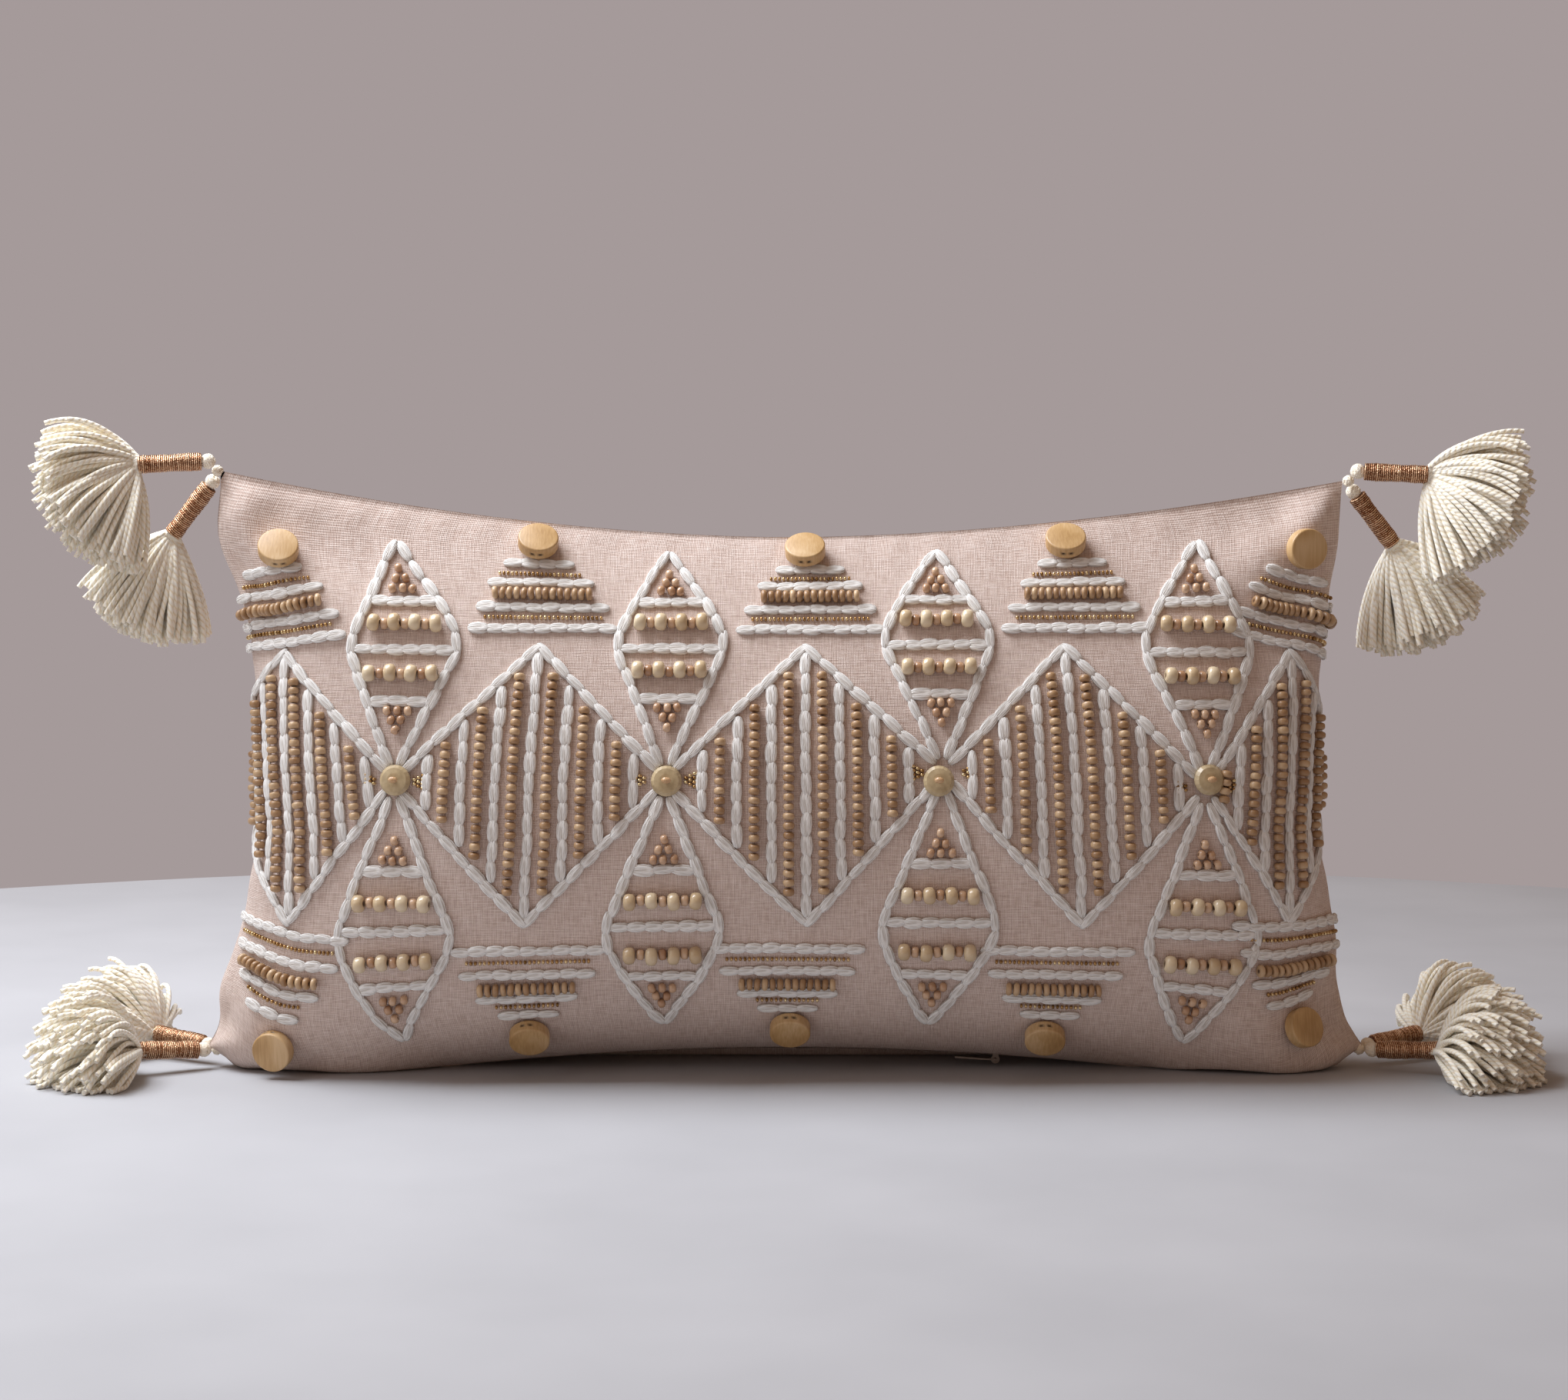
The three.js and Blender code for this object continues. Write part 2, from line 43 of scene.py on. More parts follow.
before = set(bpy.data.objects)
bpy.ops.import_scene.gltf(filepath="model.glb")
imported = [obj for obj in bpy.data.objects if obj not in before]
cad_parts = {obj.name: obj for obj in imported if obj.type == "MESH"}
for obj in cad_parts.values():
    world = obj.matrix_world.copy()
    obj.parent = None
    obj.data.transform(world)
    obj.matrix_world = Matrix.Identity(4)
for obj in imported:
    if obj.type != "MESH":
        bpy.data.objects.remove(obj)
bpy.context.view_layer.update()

MM = 0.001
ROOT = "pillow"

# Stuffed shape, as the frame's cover panels have it, in millimetres ------------------

HALF_WIDTH = 292.0
HALF_HEIGHT = 149.0
SIDE_PULL_IN = 27.0
TOP_FLARE = {-1: 16.0, 1: 11.0}
BOTTOM_FLARE = 22.0
FLARE_HEIGHT = 125.0
TIP_RISE = {-1: 33.0, 1: 28.0}
UNDER_ANGLE = math.radians(75)
UNDER_FADE = 0.5
SHOULDER_POWER = 1.5
SIDE_ROUNDNESS = 5.5
CORNER_FLATTENING = 0.4
ARCH_HEIGHT = 10.0
ARCH_RADIUS = 1500.0
HEEL = {"start": 170.0, "run": 60.0, "depth": 10.0}
CORNER_LIFT = {"reach": 42.0, "share": 0.97}
# Soft changes to the side seams, each (how far out, at what height, over what height)
SIDE_SHAPE = {
    -1: ((7.5, 8.0, 11.0), (6.5, 40.0, 20.0), (10.0, 266.0, 26.0)),
    1: ((6.0, 8.0, 11.0), (-4.5, 42.0, 20.0), (3.0, 262.0, 24.0)),
}
BACK_SAG = {"depth": 40.0, "at": 31.0, "reach": 18.0}
# Stuffing pushed into the corners: how far it stands out, and how far above or below each corner it is
CORNER_FILL = {"bottom": (7.0, 6.0), "top": (9.0, 17.0)}
SECTION_STEPS = 400
ROW_STEPS = 120
# Soft folds in the cloth, with their heights and reaches: at corners, along seams, all over and at buttons
FOLDS = {"height": 2.6, "at": 52, "reach": 44, "per_radian": 7.5}
PUCKERS = {"height": 0.55, "reach": 13, "apart": 4.1, "wander": 37}
SWELLS = {"height": 0.9, "across": 47, "up": 38}
DIMPLES = {"depth": 2.2, "reach": 15}

# The cloth is laid out in cells of about 4.5 mm
CELLS_ACROSS = 130
CELLS_UP = 66

# Ornament, as (across, up) on the flat front panel -----------------------------------

BUTTONS = ((-192.2, 16.4), (-59.7, 17.5), (75.2, 21.2), (203.6, 13.2))
LEAF_TIPS_UP = ((-195.0, 134.5), (-59.0, 136.0), (76.1, 136.5), (210.5, 135.0))
LEAF_TIPS_DOWN = ((-184.9, -112.0), (-59.6, -111.0), (68.9, -110.0), (195.5, -112.0))
DIAMOND_MIDDLES = (-256.2, -125.5, 8.6, 139.6, 254.2)
DIAMOND_TOP = 84.2
DIAMOND_FOOT = -52.4
COIN_ROWS = {
    "top": {"across": 9.0, "pitch": 134.0, "up": 137.0, "end_drop": -8.0,
            "nudge": {0: (4.5, -3), 4: (-12, 0)}, "look_up": (6, 14)},
    "bottom": {"across": 1.0, "pitch": 126.0, "up": -114.0, "end_drop": 12.0,
               "nudge": {0: (5, -6), 4: (1.5, -3)}, "look_up": (16, 4)},
}
LADDER_MIDDLES = {
    "top": (-261.5, -124.3, 11.5, 146.5, 263.0),
    "bottom": (-246.5, -123.5, -0.1, 128.7, 249.5),
}
# Rungs from the coin bead outwards: what it is, its height up the panel and its half width
LADDER_RUNGS = {
    "top": (("bar", 127.5, 16.5), ("seeds", 122.2, 21.0), ("bar", 117.6, 25.5), ("beads", 111.0, 25.5),
            ("bar", 104.4, 32.5), ("seeds", 99.3, 30.5), ("bar", 93.6, 36.6)),
    "bottom": (("bar", -101.8, 13.5), ("seeds", -96.4, 15.5), ("bar", -91.7, 23.0), ("beads", -85.2, 23.5),
               ("bar", -78.1, 31.5), ("seeds", -71.6, 30.0), ("bar", -65.6, 36.0)),
}
COLUMN_PITCH = 8.35
# The end diamonds lean as the cover narrows: how far their top and foot lie from their middle
DIAMOND_LEAN = {0: (-2.0, 14.0), 4: (2.5, -10.0)}
END_DIAMOND = {"top": 80.5, "pitch": 7.4}
# How steeply the end ladders climb to the right, beyond the panel's own curve, and how far they shift up
LADDER_TILT = {("top", 0): (0.14, -1.0), ("top", 4): (-0.24, -2.5), ("bottom", 0): (-0.04, -3.5),
               ("bottom", 4): (-0.09, -1.0)}
SEAM_CLEAR = 3.0


def smooth(x):
    """Eases from 0 to 1 as x does."""
    x = min(max(x, 0.0), 1.0)
    return x * x * (3 - 2 * x)


# Materials ---------------------------------------------------------------------------


def linear(hex_text):
    """An sRGB colour such as #D9C6BE, as linear red, green, blue and alpha."""
    parts = [int(hex_text[k:k + 2], 16) / 255 for k in (1, 3, 5)]
    return tuple(c / 12.92 if c <= 0.04045 else ((c + 0.055) / 1.055) ** 2.4 for c in parts) + (1.0,)


def add_node(tree, kind, inputs=None, **settings):
    """Adds a node. An input is a value, or (node, output) to link from."""
    made = tree.nodes.new(kind)
    for name, value in settings.items():
        setattr(made, name, value)
    for socket, value in (inputs or {}).items():
        if isinstance(value, tuple) and isinstance(value[0], bpy.types.Node):
            tree.links.new(value[0].outputs[value[1]], made.inputs[socket])
        else:
            made.inputs[socket].default_value = value
    return made


# Each of these adds one node and gives (node, output), ready to link from


def flat_place(tree, uv_map):
    return add_node(tree, "ShaderNodeUVMap", uv_map=uv_map), "UV"


def solid_place(tree):
    return add_node(tree, "ShaderNodeTexCoord"), "Object"


def stretched(tree, place, scale):
    return add_node(tree, "ShaderNodeMapping", {"Vector": place, "Scale": scale}), "Vector"


def attribute(tree, name):
    return add_node(tree, "ShaderNodeAttribute", attribute_name=name), "Fac"


def noise(tree, place, scale, detail, roughness=0.5):
    inputs = {"Vector": place, "Scale": scale, "Detail": detail, "Roughness": roughness}
    return add_node(tree, "ShaderNodeTexNoise", inputs), "Fac"


def maths(tree, operation, *values):
    return add_node(tree, "ShaderNodeMath", dict(enumerate(values)), operation=operation), "Value"


def to_unit(tree, value, low, high):
    return add_node(tree, "ShaderNodeMapRange", {"Value": value, "From Min": low, "From Max": high}), "Result"


def blend_colours(tree, factor, one, other):
    return add_node(tree, "ShaderNodeMix", {0: factor, 6: one, 7: other}, data_type="RGBA"), 2


def ramp(tree, factor, stops):
    """A colour ramp with stops of (place, hex colour)."""
    made = add_node(tree, "ShaderNodeValToRGB", {"Fac": factor})
    elements = made.color_ramp.elements
    while len(elements) < len(stops):
        elements.new(0.5)
    for element, (place, colour) in zip(elements, stops):
        element.position = place
        element.color = linear(colour)
    return made, "Color"


def start_material(name):
    """An empty material and its node tree."""
    material = bpy.data.materials.new(name)
    material.use_nodes = True
    material.node_tree.nodes.clear()
    return material, material.node_tree


def finish_material(material, inputs, height=None, strength=0.0, distance=0.0):
    """Gives the material its surface, with relief as deep as the distance in metres where it has a height."""
    tree = material.node_tree
    if height:
        bump = add_node(tree, "ShaderNodeBump", {"Height": height, "Strength": strength, "Distance": distance})
        inputs = {**inputs, "Normal": (bump, "Normal")}
    surface = add_node(tree, "ShaderNodeBsdfPrincipled", inputs)
    add_node(tree, "ShaderNodeOutputMaterial", {"Surface": (surface, "BSDF")})
    return material


def slubby_linen(colours):
    """Washed linen, plain woven from slubby yarn: matt, with threads that run thick and thin."""
    material, tree = start_material("washed_linen")
    flat = flat_place(tree, "flat")
    # Threads lie 0.85 mm apart
    per_mm = 0.31416 / 0.85
    threads = []
    for direction, wobble in (("X", 1.2), ("Y", 1.6)):
        wave = add_node(
            tree, "ShaderNodeTexWave",
            {"Vector": flat, "Scale": per_mm, "Distortion": wobble, "Detail": 2.0, "Detail Scale": 0.4},
            wave_type="BANDS", bands_direction=direction)
        threads.append((wave, "Fac"))
    # Slubs are 5 to 15 mm long and one thread thick
    slubs = [noise(tree, stretched(tree, flat, scale), 1.0, 3.0, 0.6) for scale in ((0.13, 1.2, 1.0), (1.2, 0.11, 1.0))]
    weft = maths(tree, "MULTIPLY", threads[1], slubs[0])
    warp = maths(tree, "MULTIPLY", threads[0], slubs[1])
    weave = maths(tree, "ADD", weft, warp)
    streaks = maths(tree, "ADD", *slubs)
    mixed = maths(tree, "MULTIPLY_ADD", weave, 0.9, streaks)
    # The ramp paints shade between the threads and light on the raised threads, over the slubs' own colour changes
    colour = ramp(tree, to_unit(tree, mixed, 0.98, 2.0),
                  ((0.0, colours.linen_shade), (0.5, colours.linen), (1.0, colours.linen_light)))
    return finish_material(material, {"Base Color": colour, "Roughness": 0.93, "Specular IOR Level": 0.2,
                                      "Sheen Weight": 0.18, "Sheen Roughness": 0.5}, mixed, 0.5, 0.0005)


def chain_yarn(colours):
    """Soft white cotton roving: each stitch is a bundle of fine filaments, matt and a little fluffy."""
    material, tree = start_material("white_cotton_roving")
    # Filaments show as a dozen soft bundles round a stitch, with a slow wander along it; the ramp paints shade between
    # the bundles and a near-white highlight on them
    filaments = noise(tree, stretched(tree, flat_place(tree, "around"), (14.0, 1.4, 1.0)), 1.0, 2.0, 0.6)
    colour = ramp(tree, to_unit(tree, filaments, 0.34, 0.6),
                  ((0.0, colours.yarn_shade), (0.5, colours.yarn), (1.0, "#FFFDF9")))
    return finish_material(material, {"Base Color": colour, "Roughness": 0.9, "Specular IOR Level": 0.2,
                                      "Sheen Weight": 0.6, "Sheen Roughness": 0.5}, filaments, 1.0, 0.0016)


def tassel_yarn(colours, strand_length):
    """Ivory two-ply cotton yarn: matt plies wound round each other, with warm painted shade where they meet and painted
    light on their crests.
    """
    material, tree = start_material("ivory_two_ply_cotton")
    parts = add_node(tree, "ShaderNodeSeparateXYZ", {"Vector": flat_place(tree, "UVMap")})
    # One ply passes each point every 3.4 mm, so the two make a full turn in 6.8 mm
    run = maths(tree, "MULTIPLY", (parts, "X"), strand_length / 3.4)
    turned = maths(tree, "MULTIPLY_ADD", (parts, "Y"), 2.0, run)
    wave = maths(tree, "COSINE", maths(tree, "MULTIPLY", turned, 2 * math.pi))
    ply = to_unit(tree, wave, -1.0, 0.5)
    fluff = noise(tree, solid_place(tree), 120.0, 2.0)
    # Painted shade: the colour darkens where the plies meet, and is lightest on their crests
    colour = ramp(tree, maths(tree, "MULTIPLY", ply, fluff),
                  ((0.0, colours.tassel_shade), (0.14, colours.tassel), (0.5, "#FFFAEC")))
    return finish_material(material, {"Base Color": colour, "Roughness": 0.82, "Specular IOR Level": 0.3,
                                      "Subsurface Weight": 0.1, "Subsurface Radius": (0.002, 0.0016, 0.0012),
                                      "Subsurface Scale": 1.0, "Sheen Weight": 0.5, "Sheen Roughness": 0.5},
                           ply, 0.6, 0.0004)


def knot_yarn(colours):
    """The same ivory cotton, wrapped tight into a knot."""
    material, tree = start_material("ivory_cotton_knot")
    fluff = noise(tree, solid_place(tree), 900.0, 3.0, 0.7)
    colour = ramp(tree, fluff, ((0.25, colours.tassel_shade), (0.5, colours.tassel), (0.75, "#FFFBF0")))
    return finish_material(material, {"Base Color": colour, "Roughness": 0.88, "Specular IOR Level": 0.2,
                                      "Sheen Weight": 0.3, "Sheen Roughness": 0.4}, fluff, 0.7, 0.0006)


def wound_thread(colours):
    """Lurex thread wound tight: copper-gold foil with painted glints on each turn and painted brown shade between them.
    """
    material, tree = start_material("copper_gold_lurex")
    # Painted glints, lightening the colour, are about a turn of thread, 0.8 mm, across; the tone adds painted shade
    # between turns
    painted_glints = noise(tree, solid_place(tree), 1250.0, 2.0, 0.6)
    lit = maths(tree, "MULTIPLY_ADD", painted_glints, 0.8, attribute(tree, "tone"))
    colour = ramp(tree, lit, ((0.4, colours.thread_painted_shade), (0.8, colours.thread), (1.0, colours.thread_painted_glint)))
    return finish_material(material, {"Base Color": colour, "Metallic": 0.85, "Roughness": 0.3}, painted_glints, 0.9, 0.0006)


def turned_wood(name, dark, middle, light, roughness, coat):
    """Small turned wooden bead: close-grained, waxed to a soft shine, with tone changing bead by bead."""
    material, tree = start_material(name)
    # Pores and flecks about 1 mm long
    flecks = noise(tree, solid_place(tree), 950.0, 3.0, 0.6)
    mixed = maths(tree, "MULTIPLY_ADD", flecks, 0.35, attribute(tree, "tone"))
    wood = ramp(tree, mixed, ((0.1, dark), (0.6, middle), (1.0, light)))
    # Painted shade: the bead's ends turn dark brown, for the shade inside the thread holes and in the gaps between
    # beads
    parts = add_node(tree, "ShaderNodeSeparateXYZ", {"Vector": flat_place(tree, "around")})
    to_end = maths(tree, "ABSOLUTE", maths(tree, "SUBTRACT", (parts, "Y"), 0.5))
    colour = blend_colours(tree, to_unit(tree, to_end, 0.38, 0.46), wood, linear("#4E3019"))
    return finish_material(material, {"Base Color": colour, "Roughness": roughness, "Coat Weight": coat,
                                      "Coat Roughness": 0.25}, flecks, 0.25, 0.0003)


def sliced_wood(colours):
    """Coin beads sliced from a light rod and waxed: straight fine grain, with painted shade inside the thread holes."""
    material, tree = start_material("waxed_light_wood")
    place = solid_place(tree)
    # Growth lines 0.9 mm apart run up and down the coins
    grain = noise(tree, stretched(tree, place, (1100.0, 300.0, 45.0)), 1.0, 3.0, 0.55)
    clouds = noise(tree, place, 55.0, 1.0)
    mixed = maths(tree, "MULTIPLY_ADD", grain, 0.55, clouds)
    wood = ramp(tree, mixed, ((0.5, colours.coin_dark), (0.77, colours.coin), (1.0, colours.coin_light)))
    # Painted shade: where the hole attribute is set, the colour turns near black
    colour = blend_colours(tree, attribute(tree, "hole"), wood, linear("#2E1A0C"))
    return finish_material(material, {"Base Color": colour, "Roughness": 0.45, "Coat Weight": 0.15,
                                      "Coat Roughness": 0.3}, grain, 0.2, 0.0003)


def seed_metal(colours):
    """Bronze-plated seed beads: tiny, bright where they face the light and brown where they don't."""
    material, tree = start_material("bronze_plated_seed")
    colour = ramp(tree, attribute(tree, "tone"),
                  ((0.0, colours.seed_dark), (0.5, colours.seed), (1.0, colours.seed_light)))
    return finish_material(material, {"Base Color": colour, "Metallic": 0.85, "Roughness": 0.24})


def plain_finish(name, dark, light, grain_per_metre, roughness, metallic=0.0):
    """A quiet finish with slight clouding, for pieces that are small or mostly hidden."""
    material, tree = start_material(name)
    clouds = noise(tree, solid_place(tree), grain_per_metre, 3.0)
    colour = ramp(tree, clouds, ((0.3, dark), (0.7, light)))
    return finish_material(material, {"Base Color": colour, "Metallic": metallic, "Roughness": roughness},
                           clouds, 0.3, 0.0003)


# Stuffed shape -----------------------------------------------------------------------


def run_section(shoulder):
    """The middle section of one panel, from the bottom seam up: how far out and up it is."""
    step = 2 * HALF_HEIGHT / SECTION_STEPS
    t = 2 * (np.arange(SECTION_STEPS) + 0.5) / SECTION_STEPS - 1
    lean = UNDER_ANGLE * np.exp(-(t + 1) / UNDER_FADE) - shoulder * ((t + 1) / 2) ** SHOULDER_POWER
    out = np.concatenate([[0], np.cumsum(np.sin(lean) * step)])
    up = np.concatenate([[0], np.cumsum(np.cos(lean) * step)])
    return out, up


def closed_section():
    """The section whose shoulder brings the cloth back to the seam plane at the top."""
    low, high = 0.2, 2.0
    for _ in range(40):
        middle = (low + high) / 2
        if run_section(middle)[0][-1] > 0:
            low = middle
        else:
            high = middle
    return run_section(low)


SECTION_OUT, SECTION_UP = closed_section()
SECTION_T = np.linspace(-1, 1, SECTION_STEPS + 1)
FULLNESS = SECTION_OUT.max()


def arch_drop(x, half):
    """How far the bottom seam would hang below its middle if nothing stood under it."""
    eased = np.clip((np.abs(x) - HEEL["start"]) / HEEL["run"], 0, 1)
    corner = np.clip(1 - (half - np.abs(x)) / CORNER_LIFT["reach"], 0, 1)
    heel = HEEL["depth"] * eased * eased * (3 - 2 * eased)
    lift = CORNER_LIFT["share"] * corner * corner * (3 - 2 * corner)
    return (x * x / (2 * ARCH_RADIUS) + heel) * (1 - lift)


def row_across(t, side):
    """One row of the panel from its middle to a side seam: across, out, up and length travelled."""
    upper, lower = max(t, 0.0), max(-t, 0.0)
    height = ARCH_HEIGHT + np.interp(t, SECTION_T, SECTION_UP)
    fullness = max(np.interp(t, SECTION_T, SECTION_OUT) / FULLNESS, 0.0)
    half = HALF_WIDTH - SIDE_PULL_IN + TOP_FLARE[side] * upper ** 4
    half += BOTTOM_FLARE * max(0.0, 1 - height / FLARE_HEIGHT)
    at_side = height + TIP_RISE[side] * upper ** 6 - lower ** 2 * arch_drop(half, half)
    half += sum(size * math.exp(-((at_side - up) / reach) ** 2) for size, up, reach in SIDE_SHAPE[side])
    u = np.sin(np.linspace(0, 1, ROW_STEPS + 1) * math.pi / 2)
    x = half * u
    out = FULLNESS * fullness ** (1 - CORNER_FLATTENING * u ** 3) * np.sqrt(np.maximum(0, 1 - u ** SIDE_ROUNDNESS))
    z = height + TIP_RISE[side] * upper ** 6 * u ** 1.8 - lower ** 2 * arch_drop(x, half)
    tip = ARCH_HEIGHT + SECTION_UP[-1] + TIP_RISE[side]
    lower_fill = CORNER_FILL["bottom"][0] * math.exp(-((at_side - 9 - CORNER_FILL["bottom"][1]) / 8) ** 2)
    upper_fill = CORNER_FILL["top"][0] * math.exp(-((tip - at_side - CORNER_FILL["top"][1]) / 13) ** 2)
    out += (lower_fill + upper_fill) * np.exp(-((half - x - 11) / 12) ** 2) * np.sqrt(1 - u ** 8)
    travelled = np.concatenate([[0], np.cumsum(np.hypot(np.diff(x), np.diff(out)))])
    return x, out, np.maximum(0, z), travelled


def stuffed_panel():
    """The front panel before it is creased: an array of (across, out, up) by row and column."""
    s = np.linspace(-1, 1, CELLS_ACROSS + 1)
    grid = np.zeros((CELLS_UP + 1, CELLS_ACROSS + 1, 3))
    for j, t in enumerate(np.linspace(-1, 1, CELLS_UP + 1)):
        for side in (-1, 1):
            x, out, z, travelled = row_across(t, side)
            chosen = s * side >= 0
            wanted = np.abs(s[chosen]) * travelled[-1]
            grid[j, chosen, 0] = side * np.interp(wanted, travelled, x)
            grid[j, chosen, 1] = np.interp(wanted, travelled, out)
            grid[j, chosen, 2] = np.interp(wanted, travelled, z)
    grid[[0, -1], :, 1] = 0
    grid[:, [0, -1], 1] = 0
    return grid


def crease_depth(a, b, side):
    """Soft folds the stuffing leaves: how far the cloth stands out at a place on the flat panel."""
    to_side = HALF_WIDTH - abs(a)
    to_edge = HALF_HEIGHT - abs(b)
    near = min(to_side, to_edge)
    corner = math.hypot(to_side, to_edge)
    turn = math.atan2(to_edge, to_side)
    hand = (1.7 if a > 0 else 0.0) + (0.9 if b > 0 else 0.0) + (0.6 if side > 0 else 0.0)
    folds = FOLDS["height"] * math.exp(-((corner - FOLDS["at"]) / FOLDS["reach"]) ** 2)
    folds *= math.cos(FOLDS["per_radian"] * turn + hand)
    along = a if to_edge < to_side else b
    puckers = PUCKERS["height"] * math.exp(-near / PUCKERS["reach"])
    puckers *= math.sin(along / PUCKERS["apart"] + 1.9 * math.sin(along / PUCKERS["wander"] + side))
    swells = SWELLS["height"] * math.sin(a / SWELLS["across"] + side) * math.sin(b / SWELLS["up"] + 2.1 * side)
    swells *= smooth(near / 60)
    off_seam = smooth(near / 6)
    dimples = 0.0
    if side < 0:
        for across, up in BUTTONS:
            dimples -= DIMPLES["depth"] * math.exp(-((a - across) ** 2 + (b - up) ** 2) / DIMPLES["reach"] ** 2)
    return off_seam * (folds + puckers + swells + dimples)


class Cloth:
    """The sewn cover: where each cell corner of the flat front panel has gone, in millimetres."""

    front = None


def back_sag(x, out, z, row):
    """How far the back panel sags towards the table behind the arch."""
    low = smooth(1.5 - row / (0.3 * CELLS_UP)) * min(max(1.7 - 1.7 * (x / 235) ** 2, 0.0), 1.0)
    return min(BACK_SAG["depth"], z) * low * math.exp(-((out - BACK_SAG["at"]) / BACK_SAG["reach"]) ** 2)


def sew_panels(shape, creased=True):
    """Both panels as grids, shaped, creased and joined along the seam."""
    bm = bmesh.new()
    flat = bm.loops.layers.uv.new("flat")
    column = bm.verts.layers.int.new("column")
    row = bm.verts.layers.int.new("row")
    for side in (-1, 1):
        made = bmesh.ops.create_grid(bm, x_segments=CELLS_ACROSS, y_segments=CELLS_UP, size=1)
        faces = {face for vert in made["verts"] for face in vert.link_faces}
        for vert in made["verts"]:
            vert[column] = round((vert.co.x + 1) / 2 * CELLS_ACROSS)
            vert[row] = round((vert.co.y + 1) / 2 * CELLS_UP)
            x, out, z = shape[vert[row], vert[column]]
            if side > 0:
                z -= back_sag(x, out, z, vert[row])
            vert.co = (x, side * out, z)
        for face in faces:
            for loop in face.loops:
                a, b = place_on_flat(loop.vert[column], loop.vert[row])
                loop[flat].uv = (a, b + (side > 0) * 3 * HALF_HEIGHT)
        if side < 0:
            bmesh.ops.recalc_face_normals(bm, faces=list(faces))
        if sum(face.normal.y for face in faces) * side < 0:
            bmesh.ops.reverse_faces(bm, faces=list(faces))
        bm.normal_update()
        for vert in made["verts"]:
            a, b = place_on_flat(vert[column], vert[row])
            vert.co += vert.normal * crease_depth(a, b, side) * creased
    bmesh.ops.remove_doubles(bm, verts=bm.verts, dist=0.05)
    for vert in bm.verts:
        vert.co.z = max(vert.co.z, 0.0)
    return bm


def hold_seam(bm):
    """Keeps the seam a sharp line, and its corners where they are, when the cover is rounded."""
    column, row = bm.verts.layers.int["column"], bm.verts.layers.int["row"]
    edge_crease = bm.edges.layers.float.new("crease_edge")
    corner_crease = bm.verts.layers.float.new("crease_vert")
    for vert in bm.verts:
        at_side, at_end = vert[column] in (0, CELLS_ACROSS), vert[row] in (0, CELLS_UP)
        vert[corner_crease] = 1.0 if at_side and at_end else 0.0
    for edge in bm.edges:
        edge[edge_crease] = 0.8 if all(on_seam(vert[column], vert[row]) for vert in edge.verts) else 0.0


def place_on_flat(column, row):
    """The flat place, in millimetres, of a cell corner."""
    return (2 * column / CELLS_ACROSS - 1) * HALF_WIDTH, (2 * row / CELLS_UP - 1) * HALF_HEIGHT


def on_seam(column, row):
    """Whether a cell corner lies on the seam between the panels."""
    return column in (0, CELLS_ACROSS) or row in (0, CELLS_UP)


def remember_front(mesh):
    """Keeps where each cell corner of the front panel is, in millimetres, so ornament can be laid on it."""
    grid = np.zeros((CELLS_UP + 1, CELLS_ACROSS + 1, 3))
    column, row = mesh.attributes["column"].data, mesh.attributes["row"].data
    for k, vert in enumerate(mesh.vertices):
        i, j = column[k].value, row[k].value
        if on_seam(i, j) or vert.co.y < 0:
            grid[j, i] = np.array(vert.co) / MM
    Cloth.front = grid


def on_front(a, b):
    """The place on the sewn front panel of a place on the flat one, in millimetres."""
    i = min(max((a / HALF_WIDTH + 1) / 2 * CELLS_ACROSS, 0.0), CELLS_ACROSS - 1e-6)
    j = min(max((b / HALF_HEIGHT + 1) / 2 * CELLS_UP, 0.0), CELLS_UP - 1e-6)
    i0, j0 = int(i), int(j)
    u, v = i - i0, j - j0
    g = Cloth.front
    low = g[j0, i0] * (1 - u) + g[j0, i0 + 1] * u
    high = g[j0 + 1, i0] * (1 - u) + g[j0 + 1, i0 + 1] * u
    return Vector(low * (1 - v) + high * v)


def seat(a, b, heading=(0.0, 1.0), lift=0.0, reach=2.5):
    """A place on the front panel: local Z along the heading, local Y away from the cloth, in millimetres."""
    across = on_front(a + reach, b) - on_front(a - reach, b)
    up = on_front(a, b + reach) - on_front(a, b - reach)
    normal = across.cross(up).normalized()
    size = math.hypot(*heading)
    da, db = heading[0] / size * reach, heading[1] / size * reach
    forward = (on_front(a + da, b + db) - on_front(a - da, b - db)).normalized()
    forward = (forward - normal * forward.dot(normal)).normalized()
    side = normal.cross(forward)
    turned = Matrix((side, normal, forward)).transposed().to_4x4()
    return Matrix.Translation(on_front(a, b) + normal * lift) @ turned


# Making pieces -----------------------------------------------------------------------


class Strung:
    """One small round shape, made once and set down many times in one mesh, each with its own tone."""

    def __init__(self, segments, rings):
        bm = bmesh.new()
        around = bm.loops.layers.uv.new("around")
        bmesh.ops.create_uvsphere(bm, u_segments=segments, v_segments=rings, radius=1, calc_uvs=True)
        bm.verts.index_update()
        self.ball = np.array([vert.co[:] for vert in bm.verts])
        self.faces = [[vert.index for vert in face.verts] for face in bm.faces]
        self.uvs = np.array([loop[around].uv[:] for face in bm.faces for loop in face.loops])
        bm.free()
        self.shapes = []
        self.tones = []

    def put(self, shape, place, tone):
        """Sets down one shape, given as the ball's points moved, at a place in millimetres."""
        turned = np.array(place)
        self.shapes.append(shape @ turned[:3, :3].T + turned[:3, 3])
        self.tones.append(tone)

    def piece(self, name, material):
        """Makes everything set down so far one piece of the pillow."""
        count, times = len(self.ball), len(self.shapes)
        faces = [[corner + k * count for corner in face] for k in range(times) for face in self.faces]
        mesh = bpy.data.meshes.new(name)
        mesh.from_pydata((np.concatenate(self.shapes) * MM).tolist(), [], faces)
        mesh.uv_layers.new(name="around").data.foreach_set("uv", np.tile(self.uvs, (times, 1)).ravel())
        tone = mesh.attributes.new("tone", "FLOAT", "POINT")
        tone.data.foreach_set("value", np.repeat(self.tones, count))
        return piece_of(mesh, name, material, ROOT)


